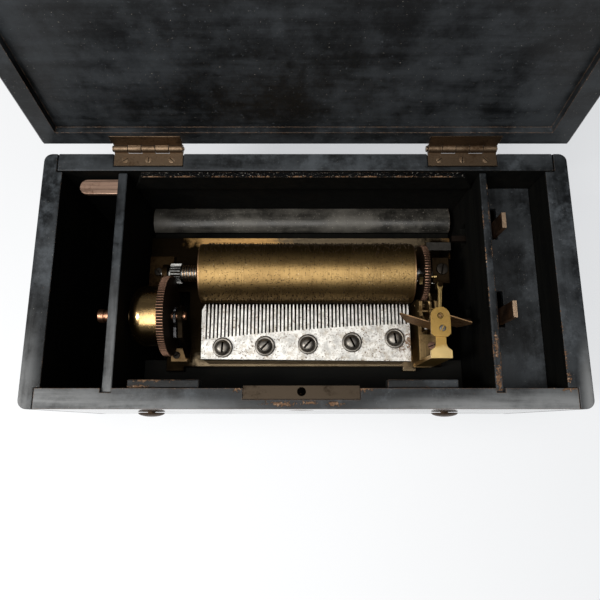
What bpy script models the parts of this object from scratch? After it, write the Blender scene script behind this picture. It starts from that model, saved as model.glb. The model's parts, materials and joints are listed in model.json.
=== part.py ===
"""Key-wound cylinder music box in a wooden case. Metres, +Z up, the front towards -Y.

The origin is the centre of the case's flat underside. The cylinder, the spring barrel and the
governor wheels turn about axes along X, and the air brake about a vertical one. The lid is
modelled open, on its hinges' stop.
"""

import math

import bmesh
import bpy
from mathutils import Matrix, Vector

# Case
CASE_WIDTH = 0.260
CASE_DEPTH = 0.125
CASE_HEIGHT = 0.100
FRONT_WALL = 0.0093
LEFT_WALL = 0.0098
RIGHT_WALL = 0.0115
LAP = 0.0071  # what each side wall covers of the front and rear walls' ends
CORNER_RADIUS = 0.004
BOTTOM_THICKNESS = 0.006
GAP = 0.0003  # between pieces that touch
LEFT_PARTITION = (-0.0930, -0.0884)
RIGHT_PARTITION = (0.0864, 0.0900)
PARTITION_TOP = 0.0985
DADO_DEPTH = 0.002
SHELF_TOP = 0.080
SHELF_THICKNESS = 0.003
CASE_SCREWS = {"left": -0.0849, "right": 0.0773}
CASE_SCREW_Z = 0.040
RAIL_TOP = 0.054
RAIL_X = (-0.0865, 0.0832)

FRONT = -CASE_DEPTH / 2
REAR = CASE_DEPTH / 2
LEFT = -CASE_WIDTH / 2
RIGHT = CASE_WIDTH / 2
INNER_FRONT = FRONT + FRONT_WALL
INNER_REAR = REAR - FRONT_WALL
INNER_LEFT = LEFT + LEFT_WALL
INNER_RIGHT = RIGHT - RIGHT_WALL

# Lid and hinges
LID_THICKNESS = 0.012
LID_GAP = 0.0006
LID_OPEN_DEG = 100.0
HINGE_X = 0.078
HINGE_AXIS = (REAR + 0.0024, CASE_HEIGHT + LID_GAP / 2)  # y, z
HINGE_LENGTH = 0.034
KNUCKLE_RADIUS = 0.0021
HINGE_PIN_RADIUS = 0.0009
LEAF_THICKNESS = 0.0011
LEAF_EDGE = REAR - 0.0065

# Lock
LOCK_X = (-0.0284, 0.0243)
LOCK_Y = (-0.0580, -0.0520)
LOCK_HOLE = (-0.0020, -0.0547)
LOCK_HOLE_RADIUS = 0.0020
KEYHOLE_Z = 0.084

# Movement
BEDPLATE_TOP = 0.053
BEDPLATE_THICKNESS = 0.005
CYLINDER_AXIS = (0.00885, 0.0700)  # y, z
CYLINDER_X = (-0.0546, 0.0562)
CYLINDER_RADIUS = 0.0156
CYLINDER_WALL = 0.0012
ARBOR_RADIUS = 0.0030
PIVOT_RADIUS = 0.0015
RUNNING_GAP = 0.0003
MODULE = 0.00045
GREAT_WHEEL_TEETH = 64
GREAT_WHEEL_X = (0.0604, 0.0634)
PINION_TEETH = 22
PINION_X = (-0.0706, -0.0651)
BARREL_WHEEL_TEETH = 89
BARREL_WHEEL_X = (-0.0710, -0.0676)
MESH_PLAY = 0.00006  # added to each pair's centre distance
BARREL_AXIS_Y = -0.0153
BARREL_X = (-0.0866, -0.0712)
BARREL_RADIUS = 0.01537
BARREL_WALL = 0.0011
BARREL_ARBOR_RADIUS = 0.0022
FIRST_PINION_TEETH = 12
FIRST_WHEEL_TEETH = 51
FIRST_ARBOR_DROP = 0.0049
GOVERNOR_MODULE = 0.0003
SECOND_PINION_TEETH = 10
SECOND_ARBOR_RISE = 0.0080
WORM_WHEEL_TEETH = 36
FLY_AXIS = (0.0635, -0.0190)  # x, y
FLY_RADIUS = 0.0174
FLY_OFFSET = 0.0030  # of each blade from the axis
FLY_TURN_DEG = -17.5
FLY_Z = (0.0822, 0.0905)
WORM_RADIUS = 0.00115
COCK_TOP = 0.0965
COMB_TOP = 0.0712
COMB_THICKNESS = 0.0024
COMB_X = (-0.0542, 0.0540)
COMB_BACK = -0.0378
TOOTH_COUNT = 56
TOOTH_TIP = -0.0081
FIRST_TOOTH_X = -0.0519
LAST_TOOTH_X = 0.0532
TOOTH_ROOTS = (-0.0266, -0.0186)  # y of the slots' ends, at the longest tooth and the shortest
TOOTH_GAP = 0.00046
COMB_SCREWS = (
    (-0.0422, -0.0308),
    (-0.0206, -0.0300),
    (0.0013, -0.0291),
    (0.0239, -0.0281),
    (0.0458, -0.0261),
)
SCREW_SLOT_DEG = (87, 45, 48, 116, 98)
LEDGE_Z = BEDPLATE_TOP - BEDPLATE_THICKNESS - GAP  # top of the wood under the bedplate
STAR_CENTRE = (0.0035, 0.0790)  # y, z
STAR_RADII = (0.0028, 0.0015)
STAR_X = (0.0582, 0.0600)
BRACKET_TOP = 0.0768
RATCHET_X = (-0.0666, -0.0652)
RATCHET_TEETH = 12
RATCHET_RADIUS = 0.0046
BRIDGE_X = (-0.0642, -0.0618)
GOVERNOR_LEFT_X = (0.0582, 0.0598)
GOVERNOR_RIGHT_X = (0.0662, 0.0678)
GOVERNOR_Y = (-0.0392, -0.0050)
GOVERNOR_BASE_TOP = 0.0563
GOVERNOR_SHELF_TOP = 0.0712
GOVERNOR_PIVOT = 0.0006
WORM_WHEEL_X = (FLY_AXIS[0] - 0.0006, FLY_AXIS[0] + 0.0006)
COCK_HALF = 0.00465
COCK_NECK_HALF = 0.00245
COCK_FOOT_HALF = 0.0050
COCK_STRIP_Z = (0.0936, 0.0954)
COCK_PLATE_Z = (0.0951, COCK_TOP)
COCK_LEG_Y = (-0.0390, -0.0372)
DETENT_PIVOT = (0.0686, 0.0004)  # x, y
DETENT_TIP = (0.0677, -0.0150)  # x, y
DETENT_Z = (0.0780, 0.0794)
PAST = 0.001  # how far a cutter runs past the face it opens

# Control levers, plates in the YZ plane
LEVER_X = (0.0975, 0.0995)
LEVER_PIVOT_Z = 0.046
LEVER_PLATE_X = (RIGHT_PARTITION[1] + GAP, RIGHT_PARTITION[1] + 0.0018)
CHANGE_LEVER_Y = 0.0297
STOP_LEVER_Y = -0.0161
LEVER_WIDTH = 0.0080


def gear_distance(first_teeth, second_teeth, module):
    return (first_teeth + second_teeth) * module / 2 + MESH_PLAY


def barrel_axis():
    """Above and in front of the cylinder, at the distance where the barrel's wheel meets the pinion."""
    distance = gear_distance(BARREL_WHEEL_TEETH, PINION_TEETH, MODULE)
    across = CYLINDER_AXIS[0] - BARREL_AXIS_Y
    return BARREL_AXIS_Y, CYLINDER_AXIS[1] + math.sqrt(distance**2 - across**2)


def first_arbor():
    distance = gear_distance(GREAT_WHEEL_TEETH, FIRST_PINION_TEETH, MODULE)
    across = math.sqrt(distance**2 - FIRST_ARBOR_DROP**2)
    return CYLINDER_AXIS[0] - across, CYLINDER_AXIS[1] - FIRST_ARBOR_DROP


def second_arbor():
    distance = gear_distance(FIRST_WHEEL_TEETH, SECOND_PINION_TEETH, GOVERNOR_MODULE)
    across = math.sqrt(distance**2 - SECOND_ARBOR_RISE**2)
    return first_arbor()[0] - across, first_arbor()[1] + SECOND_ARBOR_RISE


def material(name, colour, roughness, metallic):
    made = bpy.data.materials.new(name)
    made.use_nodes = True
    shader = made.node_tree.nodes["Principled BSDF"]
    shader.inputs["Base Color"].default_value = (*colour, 1)
    shader.inputs["Roughness"].default_value = roughness
    shader.inputs["Metallic"].default_value = metallic
    return made


FINISHES = {
    "black_wood": ((0.018, 0.020, 0.022), 0.35, 0),
    "dark_wood": ((0.012, 0.012, 0.011), 0.6, 0),
    "brass": ((0.48, 0.34, 0.14), 0.35, 1),
    "dull_brass": ((0.20, 0.14, 0.09), 0.5, 1),
    "steel": ((0.55, 0.54, 0.52), 0.35, 1),
    "dark_steel": ((0.16, 0.15, 0.14), 0.4, 1),
}


def finish(name, bm, kind, origin=(0, 0, 0), smooth_deg=35):
    """Makes the object, with its origin at a point and its own material."""
    bmesh.ops.remove_doubles(bm, verts=bm.verts, dist=1e-7)
    bmesh.ops.recalc_face_normals(bm, faces=bm.faces)
    bmesh.ops.translate(bm, verts=bm.verts, vec=-Vector(origin))
    mesh = bpy.data.meshes.new(name)
    bm.to_mesh(mesh)
    bm.free()
    mesh.shade_smooth()
    mesh.set_sharp_from_angle(angle=math.radians(smooth_deg))
    obj = bpy.data.objects.new(name, mesh)
    obj.location = origin
    bpy.context.scene.collection.objects.link(obj)
    mesh.materials.append(material(name, *FINISHES[kind]))
    return obj


def as_cutter(obj):
    obj.hide_render = True
    obj.display_type = "WIRE"
    return obj


def cut(obj, *cutters):
    for cutter in cutters:
        modifier = obj.modifiers.new("cut_" + cutter.name, "BOOLEAN")
        modifier.operation = "DIFFERENCE"
        modifier.object = as_cutter(cutter)
    return obj


def join(obj, *others):
    for other in others:
        modifier = obj.modifiers.new("join_" + other.name, "BOOLEAN")
        modifier.operation = "UNION"
        modifier.object = as_cutter(other)
    return obj


def box_mesh(low, high):
    bm = bmesh.new()
    size = Vector(high) - Vector(low)
    middle = (Vector(high) + Vector(low)) / 2
    bmesh.ops.create_cube(bm, size=1, matrix=Matrix.Translation(middle) @ Matrix.Diagonal((*size, 1)))
    return bm


def box(name, low, high, kind="black_wood", origin=(0, 0, 0)):
    return finish(name, box_mesh(low, high), kind, origin)


def place(axis, along, first, second):
    """A point from its place along an axis and its two other coordinates, in X, Y, Z order."""
    if axis == "x":
        return Vector((along, first, second))
    if axis == "y":
        return Vector((first, along, second))
    return Vector((first, second, along))


def outline_mesh(points, axis, low, high):
    """A flat outline, in the two other coordinates, stretched along an axis."""
    bm = bmesh.new()
    bottom = [bm.verts.new(place(axis, low, *point)) for point in points]
    top = [bm.verts.new(place(axis, high, *point)) for point in points]
    bm.faces.new(bottom)
    bm.faces.new(top)
    for i in range(len(points)):
        after = (i + 1) % len(points)
        bm.faces.new((bottom[i], bottom[after], top[after], top[i]))
    return bm


def outline(name, points, axis, low, high, kind, origin=(0, 0, 0)):
    return finish(name, outline_mesh(points, axis, low, high), kind, origin)


def turned(name, profile, axis, centre, kind, segments=32, smooth_deg=35):
    """A closed profile of (place along the axis, radius) points, turned about the axis."""
    bm = bmesh.new()
    rings = []
    for along, radius in profile:
        if radius < 1e-7:
            rings.append([bm.verts.new(place(axis, along, *centre))] * segments)
            continue
        ring = []
        for step in range(segments):
            angle = 2 * math.pi * step / segments
            across = centre[0] + radius * math.cos(angle)
            up = centre[1] + radius * math.sin(angle)
            ring.append(bm.verts.new(place(axis, along, across, up)))
        rings.append(ring)
    closed = profile[0][1] > 1e-7
    for i in range(len(rings) if closed else len(rings) - 1):
        first, second = rings[i], rings[(i + 1) % len(rings)]
        for step in range(segments):
            after = (step + 1) % segments
            corners = [first[step], first[after], second[after], second[step]]
            corners = list(dict.fromkeys(corners))
            if len(corners) > 2:
                bm.faces.new(corners)
    origin = place(axis, 0, *centre)
    return finish(name, bm, kind, origin, smooth_deg)


def rod(name, axis, low, high, centre, radius, kind="steel", segments=20):
    return turned(name, ((low, 0), (low, radius), (high, radius), (high, 0)), axis, centre, kind, segments)


def arc(centre, radius, start_deg, end_deg, steps):
    """Points of an arc, both ends included."""
    for i in range(steps + 1):
        angle = math.radians(start_deg + (end_deg - start_deg) * i / steps)
        yield centre[0] + radius * math.cos(angle), centre[1] + radius * math.sin(angle)


def gear_points(centre, teeth, module, first_tooth_deg):
    """A wheel's outline with pointed-flank teeth. A tooth stands at first_tooth_deg."""
    pitch_radius = teeth * module / 2
    tip, root = pitch_radius + 0.9 * module, pitch_radius - 1.15 * module
    points = []
    for tooth in range(teeth):
        middle = first_tooth_deg + 360 * tooth / teeth
        for radius, share in ((root, -0.32), (tip, -0.12), (tip, 0.12), (root, 0.32)):
            angle = math.radians(middle + share * 360 / teeth)
            points.append((centre[0] + radius * math.cos(angle), centre[1] + radius * math.sin(angle)))
    return points


def direction_deg(start, end):
    return math.degrees(math.atan2(end[1] - start[1], end[0] - start[0]))


def gear(name, centre, teeth, module, first_tooth_deg, span, kind):
    points = gear_points(centre, teeth, module, first_tooth_deg)
    return outline(name, points, "x", *span, kind, origin=(0, *centre))


# ---------------------------------------------------------------------------------------------------- case


def front_wall():
    ends = CASE_WIDTH / 2 - LAP
    points = [(-ends, FRONT), (ends, FRONT), (ends, INNER_FRONT)]
    for low, high in (RIGHT_PARTITION, LEFT_PARTITION):
        low, high = low - GAP, high + GAP
        deep = INNER_FRONT - DADO_DEPTH
        points += [(high, INNER_FRONT), (high, deep), (low, deep), (low, INNER_FRONT)]
    points.append((-ends, INNER_FRONT))
    wall = outline("front_wall", points, "z", 0, CASE_HEIGHT, "black_wood")
    past = 0.001
    recess_low = (LOCK_X[0] - GAP, LOCK_Y[0] - GAP, CASE_HEIGHT - 0.0014)
    recess = box("lock_recess", recess_low, (LOCK_X[1] + GAP, INNER_FRONT + past, CASE_HEIGHT + past))
    mortise_low = (LOCK_X[0] + 0.0021, LOCK_Y[0] + 0.0002, 0.0744)
    mortise_high = (LOCK_X[1] - 0.0021, INNER_FRONT + past, CASE_HEIGHT - 0.001)
    mortise = box("lock_mortise", mortise_low, mortise_high)
    keyhole = rod("keyhole", "y", FRONT - past, LOCK_Y[0] + past, (LOCK_HOLE[0], KEYHOLE_Z), 0.0018)
    seat = rod("escutcheon_seat", "y", FRONT - past, FRONT + 0.0013, (LOCK_HOLE[0], KEYHOLE_Z), 0.0058)
    holes = [rod("case_screw_hole_" + side, "y", FRONT - past, INNER_FRONT + past, (x, CASE_SCREW_Z), 0.0024)
             for side, x in CASE_SCREWS.items()]
    return cut(wall, recess, mortise, keyhole, seat, *holes)


def case_screw(side, x):
    """A screw with its domed washer, through the front wall into the batten."""
    dome = [(FRONT - 0.0024, 0), (FRONT - 0.0023, 0.0028), (FRONT - 0.0016, 0.0055), (FRONT - GAP, 0.0072)]
    shank = [(FRONT - GAP, 0.0020), (INNER_FRONT + 0.010, 0.0020), (INNER_FRONT + 0.0115, 0)]
    return turned("case_screw_" + side, dome + shank, "y", (x, CASE_SCREW_Z), "dull_brass", 20)


def rear_wall():
    ends = CASE_WIDTH / 2 - LAP
    wall = box("rear_wall", (-ends, INNER_REAR, 0), (ends, REAR, CASE_HEIGHT))
    cutters = []
    for side in (-1, 1):
        half = HINGE_LENGTH / 2 + GAP
        low = (side * HINGE_X - half, LEAF_EDGE - GAP, CASE_HEIGHT - LEAF_THICKNESS - GAP)
        high = (side * HINGE_X + half, REAR + PAST, CASE_HEIGHT + PAST)
        cutters.append(box(f"hinge_recess_{side}", low, high))
    return cut(wall, *cutters)


def side_wall(name, side, thickness):
    """Outer face at the case's side, lapping over the ends of the front and rear walls."""
    outer = side * CASE_WIDTH / 2
    inner = outer - side * thickness
    lap = outer - side * (LAP - GAP)
    corner = (outer - side * CORNER_RADIUS, FRONT + CORNER_RADIUS)
    start, end = (180, 270) if side < 0 else (0, -90)
    points = list(arc(corner, CORNER_RADIUS, start, end, 5))
    points += [(lap, FRONT), (lap, INNER_FRONT + GAP), (inner, INNER_FRONT + GAP)]
    points += [(inner, INNER_REAR - GAP), (lap, INNER_REAR - GAP), (lap, REAR)]
    corner = (corner[0], REAR - CORNER_RADIUS)
    start, end = (90, 180) if side < 0 else (90, 0)
    points += list(arc(corner, CORNER_RADIUS, start, end, 5))
    return outline(name, points, "z", 0, CASE_HEIGHT, "black_wood")


def bottom_board():
    low = (INNER_LEFT + GAP, INNER_FRONT + GAP, 0)
    high = (INNER_RIGHT - GAP, INNER_REAR - GAP, BOTTOM_THICKNESS)
    return box("bottom_board", low, high, "dark_wood")


def partition(name, span, holes):
    low = (span[0], INNER_FRONT - DADO_DEPTH + GAP, BOTTOM_THICKNESS + GAP)
    board = box(name, low, (span[1], INNER_REAR - GAP, PARTITION_TOP))
    return cut(board, *holes)


def partitions():
    past = 0.001
    hole = rod("bush_hole", "x", LEFT_PARTITION[0] - past, LEFT_PARTITION[1] + past, barrel_axis(), 0.0048)
    partition("left_partition", LEFT_PARTITION, [hole])
    slots = []
    for y in (STOP_LEVER_Y, CHANGE_LEVER_Y):
        low = (RIGHT_PARTITION[0] - past, y - 0.0035, 0.0610)
        slots.append(box(f"finger_slot_{len(slots)}", low, (RIGHT_PARTITION[1] + past, y + 0.0075, 0.0700)))
    partition("right_partition", RIGHT_PARTITION, slots)


def control_shelf():
    low = (RIGHT_PARTITION[1] + GAP, INNER_FRONT + GAP, SHELF_TOP - SHELF_THICKNESS)
    shelf = box("control_shelf", low, (INNER_RIGHT - GAP, INNER_REAR - GAP, SHELF_TOP))
    slots = []
    for y, front, back in ((CHANGE_LEVER_Y, 0.0052, 0.0118), (STOP_LEVER_Y, 0.0054, 0.0130)):
        slot_low = (LEVER_X[0] - 0.0004, y - front, SHELF_TOP - 0.005)
        slot_high = (LEVER_X[1] + 0.0004, y + back, SHELF_TOP + PAST)
        slots.append(box(f"lever_slot_{len(slots)}", slot_low, slot_high))
    return cut(shelf, *slots)


def rear_rail():
    """A rounded rail on the rear wall, with a ledge that carries the bedplate's rear edge."""
    rear, front = INNER_REAR - GAP, 0.0390
    radius = 0.0062
    points = [(rear, 0.020), (rear, RAIL_TOP - 0.0022), (rear - 0.004, RAIL_TOP - 0.0003)]
    points += list(arc((front + radius, RAIL_TOP - radius), radius, 85, 180, 7))
    points += [(front, LEDGE_Z), (0.0290, LEDGE_Z), (0.0290, 0.020)]
    return outline("rear_rail", points, "x", *RAIL_X, "black_wood")


def front_batten():
    low = (LEFT_PARTITION[1] + GAP, INNER_FRONT + GAP, 0.020)
    batten = box("front_batten", low, (RIGHT_PARTITION[0] - GAP, -0.0345, LEDGE_Z), "dark_wood")
    holes = [rod("batten_hole_" + side, "y", FRONT, INNER_FRONT + 0.013, (x, CASE_SCREW_Z), 0.0024)
             for side, x in CASE_SCREWS.items()]
    return cut(batten, *holes)


def ledges():
    for side, low_x, high_x in (("left", -0.0820, -0.0490), ("right", 0.0375, 0.0700)):
        low = (low_x, INNER_FRONT + GAP, 0.0900)
        box("front_ledge_" + side, low, (high_x, INNER_FRONT + 0.0042, 0.0972))
    top, bottom = 0.0994, 0.0855
    points = [(-0.0815, top), (0.0790, top), (0.0858, bottom), (-0.0878, bottom)]
    outline("rear_ledge", points, "y", INNER_REAR - 0.0032, INNER_REAR - GAP, "black_wood")


def lock():
    """The lock's plate in the rim, with its body below, and the hole that takes the hook."""
    plate_low = (LOCK_X[0], LOCK_Y[0], CASE_HEIGHT - 0.0011)
    plate = box("lock", plate_low, (LOCK_X[1], LOCK_Y[1], CASE_HEIGHT + 0.0002), "dull_brass")
    low = (LOCK_X[0] + 0.0024, LOCK_Y[0] + 0.0005, 0.0747)
    body = box("lock_body", low, (LOCK_X[1] - 0.0024, LOCK_Y[1] - 0.0003, CASE_HEIGHT - 0.0006))
    past = CASE_HEIGHT + 0.001
    hole = rod("lock_hole", "z", 0.0880, past, LOCK_HOLE, LOCK_HOLE_RADIUS, segments=24)
    return cut(join(plate, body), hole)


def keyhole_escutcheon():
    ring = [(FRONT, 0.0024), (FRONT, 0.0055), (FRONT + 0.0010, 0.0055), (FRONT + 0.0010, 0.0024)]
    return turned("keyhole_escutcheon", ring, "y", (LOCK_HOLE[0], KEYHOLE_Z), "dull_brass", 24)


def left_tab():
    middle, half = 0.0480, 0.0040
    points = [(LEFT_PARTITION[0] - GAP, middle - half), (LEFT_PARTITION[0] - GAP, middle + half)]
    points += list(arc((-0.1100, middle), half, 90, 270, 8))
    return outline("left_tab", points, "z", 0.0910, 0.0930, "dull_brass")


# ----------------------------------------------------------------------------------------------------- lid


def hinge_frame():
    """The empty on the hinges' axis, turned to the open position. The lid's pieces hang from it."""
    pivot = bpy.data.objects.new("lid_pivot", None)
    pivot.location = (0, *HINGE_AXIS)
    pivot.rotation_euler = (math.radians(-LID_OPEN_DEG), 0, 0)
    bpy.context.scene.collection.objects.link(pivot)
    return pivot


def hang(obj, pivot):
    """Parents a piece that was made in the closed position, so that it opens with the lid."""
    obj.location = obj.location - pivot.location
    obj.parent = pivot


def lid(pivot):
    bottom = CASE_HEIGHT + LID_GAP
    board = box("lid", (LEFT, FRONT, bottom), (RIGHT, REAR, bottom + LID_THICKNESS))
    bevel = board.modifiers.new("edge", "BEVEL")
    bevel.width = 0.0012
    bevel.segments = 1
    bevel.limit_method = "ANGLE"
    recess_high = (INNER_RIGHT, INNER_REAR, bottom + 0.0035)
    recess = box("lid_recess", (INNER_LEFT, INNER_FRONT, bottom - PAST), recess_high)
    cutters = [recess]
    for side in (-1, 1):
        half = HINGE_LENGTH / 2 + GAP
        low = (side * HINGE_X - half, LEAF_EDGE - GAP, bottom - PAST)
        high = (side * HINGE_X + half, REAR + PAST, bottom + LEAF_THICKNESS + GAP)
        cutters.append(box(f"lid_leaf_recess_{side}", low, high))
    half_hook = 0.0105
    hook_low = (LOCK_HOLE[0] - half_hook, LOCK_Y[0], bottom - PAST)
    hook_high = (LOCK_HOLE[0] + half_hook, INNER_FRONT + PAST, bottom + 0.0012)
    cutters.append(box("hook_recess", hook_low, hook_high))
    for cutter in cutters:
        hang(cutter, pivot)
    hang(board, pivot)
    return cut(board, *cutters)


def lid_hook_plate(pivot):
    bottom = CASE_HEIGHT + LID_GAP
    low = (LOCK_HOLE[0] - 0.0100, LOCK_Y[0] + 0.0003, bottom)
    high = (LOCK_HOLE[0] + 0.0100, INNER_FRONT - 0.0001, bottom + 0.0009)
    plate = box("lid_hook_plate", low, high, "dull_brass")
    hook = rod("hook_pin", "z", bottom - 0.0062, bottom + 0.0004, LOCK_HOLE, 0.0012, segments=12)
    hang(hook, pivot)
    hang(plate, pivot)
    return join(plate, hook)


def hinge(side_name, side, pivot):
    """A leaf on the case with three knuckles, a leaf on the lid with two, and the pin through all five."""
    middle = side * HINGE_X
    low_x, high_x = middle - HINGE_LENGTH / 2, middle + HINGE_LENGTH / 2
    knuckle = HINGE_LENGTH / 5
    bottom = CASE_HEIGHT + LID_GAP
    leaves = (("case_leaf", (0, 2, 4), CASE_HEIGHT - LEAF_THICKNESS, CASE_HEIGHT),
              ("lid_leaf", (1, 3), bottom, bottom + LEAF_THICKNESS))
    for kind, places, low_z, high_z in leaves:
        name = f"{side_name}_hinge_{kind}"
        leaf = box(name, (low_x, LEAF_EDGE, low_z), (high_x, REAR + 0.0001, high_z), "dull_brass")
        pieces = [leaf]
        for number in places:
            start, end = low_x + number * knuckle, low_x + (number + 1) * knuckle
            start += GAP / 2 if number else 0
            end -= GAP / 2 if number < 4 else 0
            barrel = rod(f"{name}_knuckle_{number}", "x", start, end, HINGE_AXIS, KNUCKLE_RADIUS, segments=12)
            web_low = (start, REAR - 0.0006, low_z)
            web = box(f"{name}_web_{number}", web_low, (end, HINGE_AXIS[0] - 0.0011, high_z))
            pieces += [barrel, web]
        bore = rod(name + "_bore", "x", low_x - 0.001, high_x + 0.001, HINGE_AXIS, HINGE_PIN_RADIUS + 0.00025,
                   segments=8)
        if kind == "lid_leaf":
            for piece in [*pieces, bore]:
                hang(piece, pivot)
        join(leaf, *pieces[1:])
        cut(leaf, bore)
    head = 0.0006
    profile = [(low_x - head - GAP, 0), (low_x - head - GAP, 0.0016), (low_x - GAP, 0.0016),
               (low_x - GAP, HINGE_PIN_RADIUS), (high_x + 0.0006, HINGE_PIN_RADIUS), (high_x + 0.0006, 0)]
    turned(side_name + "_hinge_pin", profile, "x", HINGE_AXIS, "dull_brass", 8)


# ---------------------------------------------------------------------------------------------- bedplate


def bedplate():
    """Open at the left, where the spring barrel hangs over the case's floor."""
    front, rear = -0.0385, 0.0346
    points = [(-0.0750, -0.0410), (-0.0655, -0.0410), (-0.0655, front), (0.0530, front), (0.0530, -0.0410)]
    points += [(0.0600, -0.0410), (0.0600, front), (0.0740, front), (0.0740, 0.0220), (0.0825, 0.0220)]
    points += [(0.0825, rear), (-0.0870, rear), (-0.0870, 0.0030), (-0.0640, 0.0030), (-0.0640, -0.0280)]
    points += [(-0.0750, -0.0280)]
    low = BEDPLATE_TOP - BEDPLATE_THICKNESS
    return outline("bedplate", points, "z", low, BEDPLATE_TOP, "brass")


# --------------------------------------------------------------------------------------------------- comb


def tooth_root(share):
    """The y of a slot's end, from 0 at the longest tooth to 1 at the shortest."""
    longest, shortest = TOOTH_ROOTS
    return longest + (shortest - longest) * (1 - (1 - share) ** 1.5)


def comb():
    pitch = (LAST_TOOTH_X - FIRST_TOOTH_X) / (TOOTH_COUNT - 1)
    points = [(COMB_X[1], COMB_BACK), (COMB_X[0], COMB_BACK), (COMB_X[0], tooth_root(0) + 0.001)]
    points.append((FIRST_TOOTH_X - pitch / 2 + TOOTH_GAP / 2, tooth_root(0) + 0.001))
    for tooth in range(TOOTH_COUNT):
        left = FIRST_TOOTH_X + tooth * pitch - pitch / 2 + TOOTH_GAP / 2
        right = left + pitch - TOOTH_GAP
        points += [(left, TOOTH_TIP), (right, TOOTH_TIP)]
        if tooth < TOOTH_COUNT - 1:
            root = tooth_root((tooth + 0.5) / (TOOTH_COUNT - 1))
            points += [(right, root), (right + TOOTH_GAP, root)]
    points += [(right, tooth_root(1)), (COMB_X[1], tooth_root(1))]
    body = outline("comb", points, "z", COMB_TOP - COMB_THICKNESS, COMB_TOP, "steel")
    holes = [rod(f"comb_hole_{i}", "z", COMB_TOP - 0.004, COMB_TOP + 0.001, place_xy, 0.0019, segments=14)
             for i, place_xy in enumerate(COMB_SCREWS)]
    return cut(body, *holes)


def comb_base():
    base_top = COMB_TOP - COMB_THICKNESS - GAP
    points = [(-0.0520, -0.0372), (0.0520, -0.0372), (0.0520, -0.0225), (-0.0520, -0.0270)]
    base = outline("comb_base", points, "z", BEDPLATE_TOP + GAP, base_top, "brass")
    holes = [rod(f"base_hole_{i}", "z", base_top - 0.009, base_top + 0.001, place_xy, 0.0019, segments=14)
             for i, place_xy in enumerate(COMB_SCREWS)]
    return cut(base, *holes)


def comb_screw(number, centre, slot_deg):
    """Screw and washer in one, with its slot."""
    washer = COMB_TOP + GAP
    profile = [(washer - 0.0100, 0), (washer - 0.0100, 0.0016), (washer, 0.0016), (washer, 0.00515)]
    profile += [(washer + 0.0009, 0.00505), (washer + 0.0010, 0.0028), (washer + 0.0024, 0.0026)]
    profile.append((washer + 0.0025, 0))
    screw = turned(f"comb_screw_{number}", profile, "z", centre, "steel", 18)
    slot = box(f"slot_{number}", (-0.004, -0.0004, washer + 0.0015), (0.004, 0.0004, washer + 0.004))
    slot.location = (*centre, 0)
    slot.rotation_euler = (0, 0, math.radians(slot_deg))
    return cut(screw, slot)


# ---------------------------------------------------------------------------------------------- cylinder


def cylinder():
    """A tube with soldered end caps, which slide on the arbor."""
    low, high = CYLINDER_X
    inner = CYLINDER_RADIUS - CYLINDER_WALL
    cap = 0.0020
    bore = ARBOR_RADIUS + RUNNING_GAP
    profile = [(low, bore), (low, CYLINDER_RADIUS), (high, CYLINDER_RADIUS), (high, bore)]
    profile += [(high - cap, bore), (high - cap, inner), (low + cap, inner), (low + cap, bore)]
    return turned("cylinder", profile, "x", CYLINDER_AXIS, "brass", 48)


def cylinder_arbor():
    left_pivot, left, right, right_pivot = -0.0760, -0.0716, 0.0656, 0.0720
    profile = [(left_pivot, 0), (left_pivot, PIVOT_RADIUS), (left, PIVOT_RADIUS), (left, ARBOR_RADIUS)]
    profile += [(right, ARBOR_RADIUS), (right, PIVOT_RADIUS), (right_pivot, PIVOT_RADIUS), (right_pivot, 0)]
    return turned("cylinder_arbor", profile, "x", CYLINDER_AXIS, "steel", 20)


def wheel_with_bore(name, centre, teeth, module, first_tooth_deg, span, bore_radius, kind):
    wheel = gear(name, centre, teeth, module, first_tooth_deg, span, kind)
    bore = rod(name + "_bore", "x", span[0] - 0.001, span[1] + 0.001, centre, bore_radius)
    return cut(wheel, bore)


def cylinder_wheels():
    bore = ARBOR_RADIUS + RUNNING_GAP
    to_first = direction_deg(CYLINDER_AXIS, first_arbor())
    wheel = wheel_with_bore("cylinder_great_wheel", CYLINDER_AXIS, GREAT_WHEEL_TEETH, MODULE, to_first,
                            GREAT_WHEEL_X, bore, "dull_brass")
    stud_x = STAR_X[0] - 0.0006, GREAT_WHEEL_X[0] + 0.001
    join(wheel, rod("star_stud", "x", *stud_x, STAR_CENTRE, 0.0006, segments=12))
    first_deg = direction_deg(CYLINDER_AXIS, barrel_axis()) + 180 / PINION_TEETH
    wheel_with_bore("cylinder_pinion", CYLINDER_AXIS, PINION_TEETH, MODULE, first_deg, PINION_X, bore,
                    "steel")


def shift_spring():
    """The coil that pushes the cylinder back along its arbor."""
    turns, wire, coil_radius, around = 6.5, 0.00036, 0.0041, 8
    low, high = PINION_X[1] + 0.0008, CYLINDER_X[0] - 0.0008
    steps = int(turns * around)
    points = []
    for i in range(steps + 1):
        angle = 2 * math.pi * i / around
        x = low + (high - low) * i / steps
        points.append((x, coil_radius * math.cos(angle), coil_radius * math.sin(angle)))
    curve = bpy.data.curves.new("shift_spring", "CURVE")
    curve.dimensions = "3D"
    curve.bevel_depth = wire
    curve.bevel_resolution = 0
    curve.use_fill_caps = True
    spline = curve.splines.new("POLY")
    spline.points.add(len(points) - 1)
    for point, where in zip(spline.points, points):
        point.co = (*where, 1)
    curve.materials.append(material("shift_spring", *FINISHES["dull_brass"]))
    obj = bpy.data.objects.new("shift_spring", curve)
    obj.location = (0, *CYLINDER_AXIS)
    bpy.context.scene.collection.objects.link(obj)
    return obj


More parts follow.
